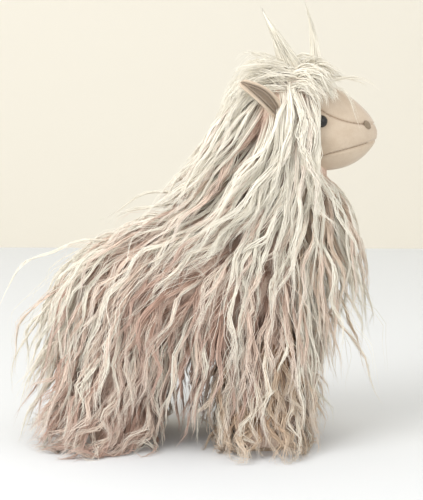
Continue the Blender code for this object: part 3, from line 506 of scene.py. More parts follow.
def mesh_of(name, points, quads, triangles, flat_map):
    """A smooth-shaded mesh from arrays of points, four-sided and three-sided faces and its map."""
    mesh = bpy.data.meshes.new(name)
    mesh.vertices.add(len(points))
    mesh.vertices.foreach_set("co", np.ascontiguousarray(points, np.float32).ravel())
    loops = np.concatenate((np.ravel(quads), np.ravel(triangles))).astype(np.int32)
    mesh.loops.add(len(loops))
    mesh.loops.foreach_set("vertex_index", loops)
    sizes = np.concatenate((np.full(len(quads), 4), np.full(len(triangles), 3)))
    mesh.polygons.add(len(sizes))
    mesh.polygons.foreach_set("loop_start", np.concatenate(((0,), np.cumsum(sizes)[:-1])).astype(np.int32))
    layer = mesh.uv_layers.new(name="OFBake")
    layer.data.foreach_set("uv", np.ascontiguousarray(flat_map, np.float32).ravel())
    mesh.polygons.foreach_set("use_smooth", np.ones(len(sizes), bool))
    mesh.update(calc_edges=True)
    return mesh


def add_piece(name, mesh, material, slot, *replaced):
    """Puts a piece in the scene, on the one body, with its finish and the nodes it stands for."""
    piece = bpy.data.objects.new(name, mesh)
    bpy.context.scene.collection.objects.link(piece)
    mesh.materials.clear()
    mesh.materials.append(material)
    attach(piece, "root")
    if replaced:
        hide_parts(*replaced)
    return piece


def spread_roots(rng, form, spacing):
    """Roots spread evenly over a form, a little out of order, with the way out of the cloth."""
    count = round(form.area() / spacing**2)
    place = np.arange(count) + rng.uniform(0.1, 0.9, count)
    height = 1 - 2 * place / count
    turn = math.pi * (3 - math.sqrt(5)) * np.arange(count) + rng.normal(0, 0.12, count)
    level = np.sqrt(1 - height**2)
    return form.spots(np.stack((level * np.cos(turn), level * np.sin(turn), height), -1))


def hood_roots(rng, spacing):
    """Roots in rings over the hood, from behind the skull to the face's edge."""
    reach = HOOD_EDGE - (HEAD_X - SKULL_LENGTH)
    rings = round(reach / spacing)
    roots, outward = [], []
    for k in range(rings):
        x = HEAD_X - SKULL_LENGTH + reach * (k + 0.6) / rings
        share = head_share(x)
        _, middle, wide, high = head_section(share, HOOD_GROWTH)
        count = max(round(math.pi * (wide + high) / spacing), 4)
        turn = (np.arange(count) + rng.uniform(0, 1) + rng.uniform(-0.3, 0.3, count)) * 2 * math.pi / count
        jitter = rng.uniform(-0.3, 0.3, count) * spacing
        roots.append(np.stack((x + jitter, MIDDLE.y + wide * np.cos(turn), middle + high * np.sin(turn)), -1))
        lean = (x - HEAD_X) / SKULL_LENGTH**2
        outward.append(np.stack((np.full(count, lean), np.cos(turn) / wide, np.sin(turn) / high), -1))
    return np.concatenate(roots), unit(np.concatenate(outward))


def bare_roots(roots, form):
    """Which roots lie on open cloth, outside the other forms."""
    others = [other for other in STUFFED if other is not form]
    return np.min([other.distance(roots) for other in others], axis=0) > -1.5 * MM


class ShaderKit:
    """A node tree with short ways to add nodes and links."""

    def __init__(self, tree):
        self.tree = tree

    def add(self, kind, **settings):
        node = self.tree.nodes.new(kind)
        for name, value in settings.items():
            setattr(node, name, value)
        return node

    def link(self, source, target):
        self.tree.links.new(source, target)

    def feed(self, socket, value):
        if isinstance(value, bpy.types.NodeSocket):
            self.link(value, socket)
        else:
            socket.default_value = value

    def math(self, operation, *values, clamp=False):
        node = self.add("ShaderNodeMath", operation=operation, use_clamp=clamp)
        for socket, value in zip(node.inputs, values):
            self.feed(socket, value)
        return node.outputs[0]

    def ease(self, value, low, high, to_low=0.0, to_high=1.0):
        node = self.add("ShaderNodeMapRange", interpolation_type="SMOOTHSTEP")
        for socket, given in zip(node.inputs, (value, low, high, to_low, to_high)):
            self.feed(socket, given)
        return node.outputs[0]

    def blend(self, factor, first, second, kind="MIX"):
        node = self.add("ShaderNodeMix", data_type="RGBA", blend_type=kind)
        self.feed(node.inputs[0], factor)
        self.feed(node.inputs[6], first)
        self.feed(node.inputs[7], second)
        return node.outputs[2]

    def noise(self, where, scale, detail=2.0, roughness=0.5):
        node = self.add("ShaderNodeTexNoise")
        self.feed(node.inputs["Vector"], where)
        node.inputs["Scale"].default_value = scale
        node.inputs["Detail"].default_value = detail
        node.inputs["Roughness"].default_value = roughness
        return node.outputs["Fac"]


def new_group(name, inputs, outputs):
    """A shader group with named sockets; inputs and outputs are (name, kind, default)."""
    tree = bpy.data.node_groups.new(name, "ShaderNodeTree")
    for direction, rows in (("INPUT", inputs), ("OUTPUT", outputs)):
        for label, kind, default in rows:
            socket = tree.interface.new_socket(label, in_out=direction, socket_type=kind)
            if default is not None:
                socket.default_value = default
    kit = ShaderKit(tree)
    return kit, kit.add("NodeGroupInput").outputs, kit.add("NodeGroupOutput").inputs


def pile_group():
    """Colour of a strand from its place on the map: tint across, root to tip along; the deep tints carry painted
    shade.
    """
    colour = "NodeSocketColor"
    rows = [(part, colour, None) for part in PILE_PARTS]
    kit, given, out = new_group("Long pile", rows, [("Colour", colour, None)])
    where = kit.add("ShaderNodeUVMap", uv_map="OFBake").outputs[0]
    split = kit.add("ShaderNodeSeparateXYZ")
    kit.link(where, split.inputs[0])
    banded = kit.math("MULTIPLY", split.outputs[0], float(BANDS))
    band = kit.math("FLOOR", banded)
    inside = kit.math("FRACT", banded)
    tint = kit.math("DIVIDE", band, float(BANDS - 1))
    along = split.outputs[1]
    draw = kit.add("ShaderNodeTexWhiteNoise", noise_dimensions="1D")
    kit.link(band, draw.inputs["W"])
    body = kit.blend(kit.ease(along, 0.0, 0.5), given["Root"], given["Middle"])
    body = kit.blend(kit.ease(along, 0.45, 1.0), body, given["Tip"])
    pale = kit.blend(kit.ease(along, 0.0, 0.22), given["Middle"], given["Pale"])
    # Deep: the darkest real locks, and painted shade for the inner and belly locks whose tint runs deep.
    deep = kit.blend(kit.ease(along, 0.1, 0.95), given["Root"], given["Deep"])
    mixed = kit.blend(kit.ease(tint, 0.12, 0.5), pale, body)
    mixed = kit.blend(kit.ease(tint, 0.5, 0.95), mixed, deep)
    bright = kit.math("ADD", kit.ease(draw.outputs["Value"], 0.0, 1.0, -0.08, 0.0), 1.0)
    # A faint painted shade darkens each strand towards the edges of its band, so one side of the strand is darker.
    side_shade = kit.ease(kit.math("ABSOLUTE", kit.math("SUBTRACT", inside, 0.5)), 0.0, 0.5, 1.0, 0.95)
    shade = kit.math("MULTIPLY", bright, side_shade)
    grey = kit.add("ShaderNodeCombineColor")
    for socket in grey.inputs:
        kit.link(shade, socket)
    kit.link(kit.blend(1.0, mixed, grey.outputs[0], "MULTIPLY"), out["Colour"])
    return kit.tree


def velour_group():
    """Short pile: soft mottling, a fine nap and the lie of the pile, from the place on the toy."""
    colour, number = "NodeSocketColor", "NodeSocketFloat"
    inputs = [("Base", colour, None), ("Shadow", colour, None)]
    inputs += [("Grain", number, 900.0), ("Mottle", number, 0.35)]
    kit, given, out = new_group("Short pile", inputs, [("Colour", colour, None), ("Height", number, None)])
    where = kit.add("ShaderNodeTexCoord").outputs["Object"]
    grain = kit.add("ShaderNodeTexNoise")
    kit.link(where, grain.inputs["Vector"])
    kit.link(given["Grain"], grain.inputs["Scale"])
    grain.inputs["Detail"].default_value = 3.0
    patches = kit.noise(where, 95.0, 3.0, 0.6)
    tone = kit.math("MULTIPLY", kit.ease(patches, 0.35, 0.7), given["Mottle"])
    fleck = kit.math("MULTIPLY", kit.ease(grain.outputs["Fac"], 0.35, 0.75), 0.3)
    shaded = kit.math("ADD", tone, fleck, clamp=True)
    kit.link(kit.blend(shaded, given["Base"], given["Shadow"]), out["Colour"])
    kit.link(kit.math("ADD", grain.outputs["Fac"], kit.math("MULTIPLY", patches, 0.6)), out["Height"])
    return kit.tree


def new_material(name, group=None, values=None, rough=0.7, bump=0.0, bump_reach=0.4 * MM, **shader_values):
    """A Principled material: its colour from a group, fixed values on the shader's own sockets."""
    made = bpy.data.materials.new(name)
    made.use_nodes = True
    kit = ShaderKit(made.node_tree)
    shader = made.node_tree.nodes["Principled BSDF"]
    shader.inputs["Roughness"].default_value = rough
    for label, value in shader_values.items():
        shader.inputs[label.replace("_", " ")].default_value = value
    if group:
        effect = kit.add("ShaderNodeGroup", node_tree=group)
        for label, value in values.items():
            kit.feed(effect.inputs[label], (*value, 1.0) if isinstance(value, tuple) else value)
        kit.link(effect.outputs["Colour"], shader.inputs["Base Color"])
        if bump:
            relief = kit.add("ShaderNodeBump")
            relief.inputs["Strength"].default_value = bump
            relief.inputs["Distance"].default_value = bump_reach
            kit.link(effect.outputs["Height"], relief.inputs["Height"])
            kit.link(relief.outputs["Normal"], shader.inputs["Normal"])
    return made


def group_named(name, maker):
    return bpy.data.node_groups.get(name) or maker()


def colour_property(name, description, screen):
    return FloatVectorProperty(
        name=name, description=description, default=linear(*screen), subtype="COLOR", size=3, min=0, max=1
    )


def size_property(name, description, millimetres):
    return FloatProperty(name=name, description=description, default=millimetres * MM, min=0, unit="LENGTH")


def power_property(name, description, watts):
    return FloatProperty(name=name, description=description, default=watts, min=0, unit="POWER")


class LlamaPileSizes(bpy.types.PropertyGroup):
    lock_width: size_property("Lock width", "Width of a lock where it leaves the cloth", 6.5)
    lock_spacing: size_property("Lock spacing", "How far apart the locks grow on the torso", 8.5)
    strand_thickness: size_property("Strand thickness", "Thickness of a strand at its middle", 0.72)
    wave_length: size_property("Wave length", "Length of one wave along a lock", 42)
    lock_wave: size_property("Lock wave", "How far a lock waves to the side", 3.5)
    strand_wave: size_property("Strand wave", "How far a strand waves by itself", 1.1)
    strands: IntProperty(name="Strands", description="Strands gathered in one lock", default=13, min=3)
    rings: IntProperty(name="Rings", description="Rings along one long strand", default=9, min=5)


class LlamaColours(bpy.types.PropertyGroup):
    pale: colour_property("Pale pile", "White locks of the crown and mane", (255, 249, 234))
    cream: colour_property("Cream tips", "Tips of the beige locks", (253, 242, 229))
    beige: colour_property("Beige pile", "Middle of the rosy beige locks", (244, 222, 204))
    rosy: colour_property("Rosy roots", "Roots of the pile on the body", (193, 157, 138))
    # Deep pile also stands in for painted shade: the inner locks and the belly locks take it.
    deep: colour_property("Deep pile", "The darkest locks of the body", (216, 186, 170))
    tan: colour_property("Tan pile", "Middle of the locks on chest and legs", (232, 211, 186))
    tan_root: colour_property("Tan roots", "Roots of the pile on chest and legs", (174, 136, 104))
    seam: colour_property("Seam thread", "Brown thread in the seams of the face", (180, 154, 128))
    face: colour_property("Face velour", "Short pile of the face and the ears", (213, 195, 173))
    face_shadow: colour_property("Face shadow", "Worn and shaded spots of the face", (196, 174, 149))
    lining: colour_property("Ear lining", "Taupe cloth inside the ears", (160, 142, 123))
    nostril: colour_property("Nostril thread", "Taupe satin thread of the nostrils", (158, 139, 116))
    bead: colour_property("Eye bead", "Black bead of the eyes", (18, 15, 13))
    floor: colour_property("Floor", "Pale table", (229, 231, 232))
    backdrop: colour_property("Backdrop", "Cream wall", (233, 227, 213))


class LlamaStageSizes(bpy.types.PropertyGroup):
    camera_distance: size_property("Camera distance", "From the llama's middle line to the camera", 1000)
    camera_height: size_property("Camera height", "Height of the camera over the floor", 270)
    camera_forward: size_property("Camera place", "How far the camera stands towards the muzzle", 32)
    lens: FloatProperty(name="Lens", description="Focal length in mm of a 36 mm frame", default=99.6, min=10)
    key_power: power_property("Window light", "Power of the window", 14.0)
    fill_power: power_property("Room light", "Power of the fill", 3.0)
    sky: FloatProperty(name="Sky", description="Strength of the light from all round", default=0.92, min=0)


def pile_material(name, *colours):
    """The long pile's colours: its root, middle, tip and palest locks, and its deepest locks, partly dye and
    partly painted shade.
    """
    values = {part: tuple(colour) for part, colour in zip(PILE_PARTS, colours)}
    group = group_named("Long pile", pile_group)
    new_material(name, group, values, 0.62, Specular_IOR_Level=0.2, Sheen_Weight=0.12, Sheen_Roughness=0.4)


def pile_materials(colours):
    """The four colourings of the long pile, made once; their deep colours also serve as painted shade."""
    if "rosy_pile" not in bpy.data.materials:
        c = colours
        pile_material("white_pile", c.beige, c.cream, c.pale, c.pale, c.beige)
        pile_material("rosy_pile", c.rosy, c.beige, c.cream, c.pale, c.deep)
        pile_material("tan_pile", c.tan_root, c.tan, c.cream, c.pale, c.tan)
        pile_material("buff_pile", c.tan, c.beige, c.cream, c.pale, c.tan)
    return bpy.data.materials


class LLAMA_OT_ground(bpy.types.Operator):
    """Add the coat's cloth with its dense short underfur"""

    bl_idname = "llama.ground"
    bl_label = "Ground cloth"

    def execute(self, context):
        colours = context.scene.llama_colours
        shape = bmesh.new()
        for egg in (TORSO, NECK, *LEGS.values()):
            place = Matrix.Translation(Vector(egg.middle)) @ Matrix(egg.turn.tolist()).to_4x4()
            place = place @ Matrix.Diagonal((*egg.radii, 1))
            bmesh.ops.create_uvsphere(shape, u_segments=48, v_segments=32, radius=1, matrix=place)
        around = 48
        rings = []
        shares = [-math.cos(math.pi / 2 * k / 16) for k in range(1, 16)]
        shares += [k / 3 * head_share(FACE_X - 1 * MM) for k in range(4)]
        turns = [2 * math.pi * k / around for k in range(around)]
        for share in shares:
            x, middle, wide, high = head_section(share, HOOD_GROWTH)
            ring = [(x, MIDDLE.y + wide * math.cos(t), middle + high * math.sin(t)) for t in turns]
            rings.append([shape.verts.new(spot) for spot in ring])
        for near, far in zip(rings, rings[1:]):
            for k in range(around):
                shape.faces.new((near[k], near[(k + 1) % around], far[(k + 1) % around], far[k]))
        shape.faces.new(rings[0])
        shape.faces.new(reversed(rings[-1]))
        bmesh.ops.recalc_face_normals(shape, faces=shape.faces)
        mesh = bpy.data.meshes.new("coat_cloth")
        shape.to_mesh(mesh)
        shape.free()
        values = {"Base": tuple(colours.beige), "Shadow": tuple(colours.rosy), "Grain": 420.0, "Mottle": 0.5}
        cloth = new_material("underfur", group_named("Short pile", velour_group), values, 0.9, 0.9, 1.5 * MM)
        piece = add_piece("coat_cloth", mesh, cloth, "long_pile", "coat")
        remesh = piece.modifiers.new("one_skin", "REMESH")
        remesh.mode = "VOXEL"
        remesh.voxel_size = CLOTH_VOXEL
        relax = piece.modifiers.new("soft_creases", "SMOOTH")
        relax.iterations = 6
        bpy.context.view_layer.update()
        whole = bpy.data.meshes.new_from_object(piece.evaluated_get(context.evaluated_depsgraph_get()))
        piece.modifiers.clear()
        piece.data = whole
        points = np.empty(len(whole.vertices) * 3, np.float32)
        whole.vertices.foreach_get("co", points)
        points = points.reshape(-1, 3)
        points[:, 2] = np.maximum(points[:, 2], LEG_FOOT)
        whole.vertices.foreach_set("co", points.ravel())
        whole.shade_smooth()
        return {"FINISHED"}


def region_locks(rng, form, spacing, keep, **how):
    """Locks from those roots of a form that keep accepts."""
    roots, outward = hood_roots(rng, spacing) if form is HEAD else spread_roots(rng, form, spacing)
    chosen = bare_roots(roots, form) & keep(roots, outward)
    return lay_locks(rng, roots[chosen], outward[chosen], **how)


class LLAMA_OT_body_pile(bpy.types.Operator):
    """Add the long pile of the torso: back, rump, both flanks, belly and loose flyaways"""

    bl_idname = "llama.body_pile"
    bl_label = "Body pile"

    def execute(self, context):
        sizes = context.scene.llama_pile
        dyes = pile_materials(context.scene.llama_colours)
        rump_x = MIDDLE.x - TORSO_SIZE[0] / 2 * 0.62

        def flank(r, n):
            return (r[:, 0] >= rump_x) & (abs(n[:, 2] + 0.1) <= 0.55)

        regions = {
            "rump_pile": lambda r, n: (r[:, 0] < rump_x) & (n[:, 2] > -0.6),
            "back_pile": lambda r, n: (r[:, 0] >= rump_x) & (n[:, 2] > 0.45),
            "flank_pile_right": lambda r, n: flank(r, n) & (n[:, 1] < 0),
            "flank_pile_left": lambda r, n: flank(r, n) & (n[:, 1] >= 0),
            "belly_pile": lambda r, n: (r[:, 0] >= rump_x) & (n[:, 2] < -0.65),
        }
        for seed, (name, keep) in enumerate(regions.items()):
            rng = np.random.default_rng(10 + seed)
            spacing = sizes.lock_spacing * (1.35 if name == "belly_pile" else 1.0)
            length = 64 * MM if name == "belly_pile" else None
            locks = region_locks(rng, TORSO, spacing, keep, length=length)
            # The belly locks get a much darker tint: painted shade under the body.
            pale = -0.5 if name == "belly_pile" else 0.0
            mesh = strand_mesh(name, rng, locks, sizes, sizes.strands, sizes.rings, pale=pale)
            add_piece(name, mesh, dyes["rosy_pile"], "long_pile")
        rng = np.random.default_rng(18)
        locks = region_locks(rng, TORSO, sizes.lock_spacing * 1.2, lambda r, n: n[:, 2] > -0.3, **FLYAWAY)
        mesh = strand_mesh(
            "body_flyaways", rng, locks, sizes, 2, sizes.rings, width=2.0, thickness=0.5, gather=0.1, pale=0.4
        )
        add_piece("body_flyaways", mesh, dyes["rosy_pile"], "long_pile")
        return {"FINISHED"}


class LLAMA_OT_neck_pile(bpy.types.Operator):
    """Add the long pile of the neck: mane on both sides, chest and nape"""

    bl_idname = "llama.neck_pile"
    bl_label = "Neck pile"

    def execute(self, context):
        sizes = context.scene.llama_pile
        dyes = pile_materials(context.scene.llama_colours)
        regions = {
            "chest_pile": ("buff_pile", lambda r, n: n[:, 0] > 0.35),
            "neck_back_pile": ("rosy_pile", lambda r, n: n[:, 0] < -0.5),
            "mane_right": ("rosy_pile", lambda r, n: (abs(n[:, 0] + 0.075) <= 0.425) & (n[:, 1] < 0)),
            "mane_left": ("rosy_pile", lambda r, n: (abs(n[:, 0] + 0.075) <= 0.425) & (n[:, 1] >= 0)),
        }
        for seed, (name, (dye, keep)) in enumerate(regions.items()):
            rng = np.random.default_rng(20 + seed)
            lift, spacing = (0.7, 0.74) if name == "chest_pile" else (0.3, 0.94)
            locks = region_locks(rng, NECK, sizes.lock_spacing * spacing, keep, lift=lift)
            mesh = strand_mesh(name, rng, locks, sizes, sizes.strands, sizes.rings)
            add_piece(name, mesh, dyes[dye], "long_pile")
        return {"FINISHED"}


def visor_heading(points):
    """Forward over the brow, falling to both sides of the nose bridge."""
    side = np.clip((points[..., 1] - MIDDLE.y) / (10 * MM), -1, 1)
    ahead = np.clip((points[..., 0] - FACE_X) / (24 * MM), 0, 1)
    return np.stack((1 - 0.4 * ahead, side * 0.45, -0.05 - 0.5 * ahead), -1)


def crown_heading(points):
    """Back over the crown, then down behind the ears."""
    side = np.clip((points[..., 1] - MIDDLE.y) / (25 * MM), -1, 1)
    behind = smooth(HEAD_X - 18 * MM, HEAD_X - 48 * MM, points[..., 0])
    return np.stack((-0.95 + 0.45 * behind, side * 0.12, 0.05 - 0.9 * behind), -1)


def edge_heading(points):
    """Down beside the face, forward over the rear of the eye."""
    aside = np.sign(points[..., 1] - MIDDLE.y)
    forward = 0.25 * smooth(HEAD_Z - 12 * MM, HEAD_Z + 12 * MM, points[..., 2]) - 0.03
    return np.stack((forward, aside * 0.04, np.full_like(forward, -1.0)), -1)


class LLAMA_OT_head_pile(bpy.types.Operator):
    """Add the pile of the head: fringe, crown, nape, brow, visor, wisps and the two tall tufts"""

    bl_idname = "llama.head_pile"
    bl_label = "Head pile"

    def execute(self, context):
        sizes = context.scene.llama_pile
        dyes = pile_materials(context.scene.llama_colours)
        top = HEAD_Z + HEAD_HEIGHT * 0.3
        front = HEAD_X - SKULL_LENGTH * 0.42
        regions = {
            "fringe_right": ("white_pile", lambda r, n: (r[:, 0] > front) & (r[:, 1] < MIDDLE.y)),
            "fringe_left": ("white_pile", lambda r, n: (r[:, 0] > front) & (r[:, 1] >= MIDDLE.y)),
            "crown_pile": ("white_pile", lambda r, n: (r[:, 0] <= front) & (r[:, 2] > top)),
            "nape_pile": ("rosy_pile", lambda r, n: (r[:, 0] <= front) & (r[:, 2] <= top)),
        }
        how = {"lift": 0.12, "limp": 0.45, "droop": 0.35, "scatter": 0.12, "layers": (1.5, 8)}
        for seed, (name, (dye, keep)) in enumerate(regions.items()):
            rng = np.random.default_rng(30 + seed)
            spacing = sizes.lock_spacing * 0.62
            locks = parted(rng, region_locks(rng, HEAD, spacing, keep, **how))
            mesh = strand_mesh(name, rng, locks, sizes, sizes.strands, sizes.rings + 1, pale=0.08, mix=0.12)
            add_piece(name, mesh, dyes[dye], "long_pile")
        self.add_face_locks(sizes, dyes["white_pile"])
        self.add_sweep(sizes, dyes["white_pile"])
        self.add_visor(sizes, dyes["white_pile"])
        self.add_tufts(sizes, dyes["white_pile"], context.scene.llama_colours)
        self.add_wisps(sizes, dyes["white_pile"])
        return {"FINISHED"}

    def add_face_locks(self, sizes, dye):
        """The long white locks that fall from the brow past the eyes."""
        rng = np.random.default_rng(35)
        roots, outward = [], []
        for sign in SIDES.values():
            for height in (13, 17, 20, 23, 25, 27):
                spot, way = head_spot(HOOD_EDGE, height * MM, sign, HOOD_GROWTH)
                roots.append(spot)
                outward.append(way)
        how = {"lift": 0.15, "limp": 0.5, "droop": 0.2, "scatter": 0.05, "layers": (3, 8)}
        locks = lay_locks(rng, np.array(roots), np.array(outward), heading=edge_heading, length=150 * MM, **how)
        courses = locks.courses
        beside = courses[..., 2] > HEAD_Z - HEAD_HEIGHT * 0.6
        courses[..., 0] = np.where(beside, np.minimum(courses[..., 0], FACE_X + 5.6 * MM), courses[..., 0])
        locks = Locks(courses, np.full(len(courses), 1.1))
        mesh = strand_mesh("brow_locks", rng, locks, sizes, sizes.strands, sizes.rings + 2, width=0.9, mix=0.05)
        add_piece("brow_locks", mesh, dye, "long_pile")

    def add_sweep(self, sizes, dye):
        """The full white pile that is swept back from the crown, over the tops of the ears."""
        rng = np.random.default_rng(37)
        how = {"lift": 0.9, "limp": 0.35, "droop": 0.25, "scatter": 0.22, "layers": (2, 13)}
        locks = region_locks(
            rng, HEAD, sizes.lock_spacing * 0.44,
            lambda r, n: (r[:, 0] < HEAD_X + 6 * MM) & (r[:, 2] > HEAD_Z + 17 * MM),
            heading=crown_heading, length=58 * MM, **how
        )
        locks = parted(rng, Locks(locks.courses, np.full(len(locks.courses), 1.0)))
        mesh = strand_mesh(
            "crown_sweep", rng, locks, sizes, 12, 8, width=1.3, wave=0.6, thickness=0.8, mix=0.08, gather=0.25
        )
        add_piece("crown_sweep", mesh, dye, "long_pile")

    def add_visor(self, sizes, dye):
        """The soft short cap of pile over the brow."""
        rng = np.random.default_rng(36)
        how = {"lift": 0.7, "limp": 0.3, "droop": 0.4, "scatter": 0.2, "layers": (1, 12)}
        locks = region_locks(
            rng, HEAD, sizes.lock_spacing * 0.38,
            lambda r, n: (r[:, 0] > HEAD_X - 14 * MM) & (r[:, 2] > HEAD_Z + 23 * MM),
            heading=visor_heading, length=38 * MM, **how
        )
        mesh = strand_mesh(
            "visor_pile", rng, locks, sizes, 13, 7, width=1.3, wave=0.5, curl=0.7, thickness=0.8, pale=0.15,
            mix=0.04, gather=0.1
        )
        add_piece("visor_pile", mesh, dye, "long_pile")

    def add_tufts(self, sizes, dye, colours):
        """The two tall peaks of pile that stand on the crown."""
        rng = np.random.default_rng(40)
        steps = np.linspace(0, 1, 10)[:, None]
        for name, start, end, width, strands in (
            ("crown_tuft_rear", (-4, 0, 28), (-31, -4, 82), 21, 340),
            ("crown_tuft_front", (11, 2, 28), (1, 4, 88), 11, 170),
        ):
            start, end = (HEAD_MIDDLE + np.array(spot) * MM for spot in (start, end))
            bow = np.sin(np.pi * steps) * np.array((2.0, 0, -1.0)) * MM
            locks = Locks((start + (end - start) * steps + bow)[None], np.full(1, 1.1))
            mesh = strand_mesh(
                name, rng, locks, sizes, strands, 10, width=width * MM / sizes.lock_width, thickness=0.9, wave=0.4,
                mix=0.0, peaked=True
            )
            add_piece(name, mesh, dye, "long_pile")
            core = velour_material("tuft_core", colours.pale, colours.pale)
            add_piece(f"{name}_core", self.tuft_core(locks.courses[0], width * MM * 0.34), core, "long_pile")

    def tuft_core(self, course, radius):
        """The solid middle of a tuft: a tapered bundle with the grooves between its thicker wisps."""
        shape = bmesh.new()
        sides = 36
        rings = []
        course = [Vector(spot) for spot in between(course[None], np.linspace(0, 0.93, 26)[None, None])[0, 0]]
        ahead = (course[-1] - course[0]).normalized()
        across = ahead.cross(Vector((0, 1, 0))).normalized()
        over = across.cross(ahead)
        for k, middle in enumerate(course):
            share = k / len(course)
            ring = []
            for m in range(sides):
                turn = 2 * math.pi * m / sides
                groove = 1 + 0.09 * math.sin(7 * turn + 3 * share) + 0.05 * math.sin(17 * turn - 4 * share)
                off = radius * (1 - share) ** 1.15 * groove
                ring.append(shape.verts.new(middle + (across * math.cos(turn) + over * math.sin(turn)) * off))
            rings.append(ring)
        join_rings(shape, rings)
        return finished_mesh("tuft_core", shape)

    def add_wisps(self, sizes, dye):
        """The few long loose wisps round the crown and over the brow."""
        rng = np.random.default_rng(44)
        steps = np.linspace(0, 1, 12)[:, None]
        courses = []
        for start, end, sag in (
            ((-8, -4, 34), (-52, -8, 36), 5),
            ((-14, 6, 33), (-58, 12, 26), 8),
            ((-20, -8, 31), (-62, -14, 10), 10),
            ((-6, -10, 33), (-46, -22, 24), 8),
            ((14, -6, 28), (58, -12, 20), 7),
            ((12, 4, 29), (50, 10, 24), 6),
            ((16, -10, 26), (44, -24, -8), 10),
            ((-12, -2, 34), (-40, 2, 52), -4),
            ((2, -2, 34), (-22, -6, 54), 6),
        ):
            start, end = (HEAD_MIDDLE + np.array(spot) * MM for spot in (start, end))
            courses.append(start + (end - start) * steps + np.sin(np.pi * steps) * np.array((0, 0, sag)) * MM)
        locks = Locks(np.array(courses), np.full(len(courses), 1.1))
        mesh = strand_mesh(
            "crown_wisps", rng, locks, sizes, 16, 10, width=1.3, thickness=0.45, wave=0.6, mix=0.05, fleece=0.0
        )
        add_piece("crown_wisps", mesh, dye, "long_pile")


class LLAMA_OT_leg_pile(bpy.types.Operator):
    """Add the pile of the four legs, down to where it lies on the floor"""

    bl_idname = "llama.leg_pile"
    bl_label = "Leg pile"

    def execute(self, context):
        sizes = context.scene.llama_pile
        dyes = pile_materials(context.scene.llama_colours)
        for seed, (place, leg) in enumerate(LEGS.items()):
            rng = np.random.default_rng(50 + seed)
            away = np.sign(leg.middle[1] - MIDDLE.y)
            locks = region_locks(
                rng, leg, sizes.lock_spacing * 0.9,
                lambda r, n: (r[:, 2] > 18 * MM) & (n[:, 1] * away > -0.7)
            )
            mesh = strand_mesh(
                f"leg_pile_{place}", rng, locks, sizes, sizes.strands - 2, sizes.rings - 1, wave=1.5, curl=0.75
            )
            dye = dyes["tan_pile" if "front" in place else "rosy_pile"]
            add_piece(f"leg_pile_{place}", mesh, dye, "long_pile")
        return {"FINISHED"}


def seam_heights(x):
    """Heights of the upper and the lower face seam over the head's middle line at x."""
    share = np.clip((x - FACE_X) / (TIP_X - FACE_X), 0, 1)
    front = UPPER_SEAM_FRONT - MUZZLE_DROP
    upper = front + (UPPER_SEAM_BACK - front) * (1 - share) ** UPPER_SEAM_CURVE
    return upper, LOWER_SEAM_BACK + (LOWER_SEAM_FRONT - LOWER_SEAM_BACK) * share


def panel_mesh(name, sizes, edges, rows=52, columns=44):
    """A face panel between two edges, each a function of (upper turn, lower turn) at a station."""
    shell = bmesh.new()
    start = head_share(FACE_X - 0.4 * MM)
    grid = []
    for k in range(rows + 1):
        turn = math.asin(start) + (math.pi / 2 - math.asin(start)) * k / rows
        x, middle, wide, high = head_section(min(math.sin(turn), 0.9999))
        heights = seam_heights(x)
        turns = [math.asin(max(-1.0, min(1.0, (HEAD_Z + height - middle) / high))) for height in heights]
        first, second = (edge(*turns) for edge in edges)
        if second - first < 0.02:
            break
        row = []
        for m in range(columns + 1):
            place = (1 - math.cos(math.pi * m / columns)) / 2
            t = first + (second - first) * place
            normal = Vector((0, -math.cos(t) / wide, math.sin(t) / high)).normalized()
            normal.x = max(math.tan(turn), 0) * 0.6
            normal.normalize()
            point = Vector((x, MIDDLE.y - wide * math.cos(t), middle + high * math.sin(t)))
            arc = math.hypot(wide * math.sin(t), high * math.cos(t))
            off_seam = min(place, 1 - place) * (second - first) * arc
            stitch = 1 + 0.25 * math.cos(2 * math.pi * x / sizes.stitch)
            sink = sizes.seam_depth * stitch * math.exp(-((off_seam / sizes.seam_roll) ** 2))
            lump = sizes.lump * math.sin(x / (9 * MM) + 3 * t) * math.sin(4.1 * t + x / (14 * MM))
            row.append(shell.verts.new(point - normal * (sink - lump)))
        grid.append(row)
    for near, far in zip(grid, grid[1:]):
        for m in range(columns):
            shell.faces.new((near[m], near[m + 1], far[m + 1], far[m]))
    bmesh.ops.remove_doubles(shell, verts=shell.verts, dist=0.02 * MM)
    bmesh.ops.recalc_face_normals(shell, faces=shell.faces)
    outer = max(shell.faces, key=lambda face: abs(face.calc_center_median().y - MIDDLE.y))
    if outer.normal.dot(outer.calc_center_median() - Vector((HEAD_X, MIDDLE.y, MUZZLE_Z))) < 0:
        bmesh.ops.reverse_faces(shell, faces=shell.faces)
    bmesh.ops.solidify(shell, geom=shell.faces, thickness=FACE_CLOTH)
    mesh = bpy.data.meshes.new(name)
    shell.to_mesh(mesh)
    shell.free()
    mesh.shade_smooth()
    return mesh


def tube_ring(shape, middle, side, up, radius, sides):
    turns = [2 * math.pi * k / sides for k in range(sides)]
    return [shape.verts.new(middle + (side * math.cos(t) + up * math.sin(t)) * radius) for t in turns]


def join_rings(shape, rings):
    """Faces between rings of points, and over the two ends."""
    for near, far in zip(rings, rings[1:]):
        count = len(near)
        for k in range(count):
            shape.faces.new((near[k], near[(k + 1) % count], far[(k + 1) % count], far[k]))
    shape.faces.new(list(reversed(rings[0])))
    shape.faces.new(rings[-1])


def finished_mesh(name, shape):
    bmesh.ops.recalc_face_normals(shape, faces=shape.faces)
    mesh = bpy.data.meshes.new(name)
    shape.to_mesh(mesh)
    shape.free()
    mesh.shade_smooth()
    return mesh


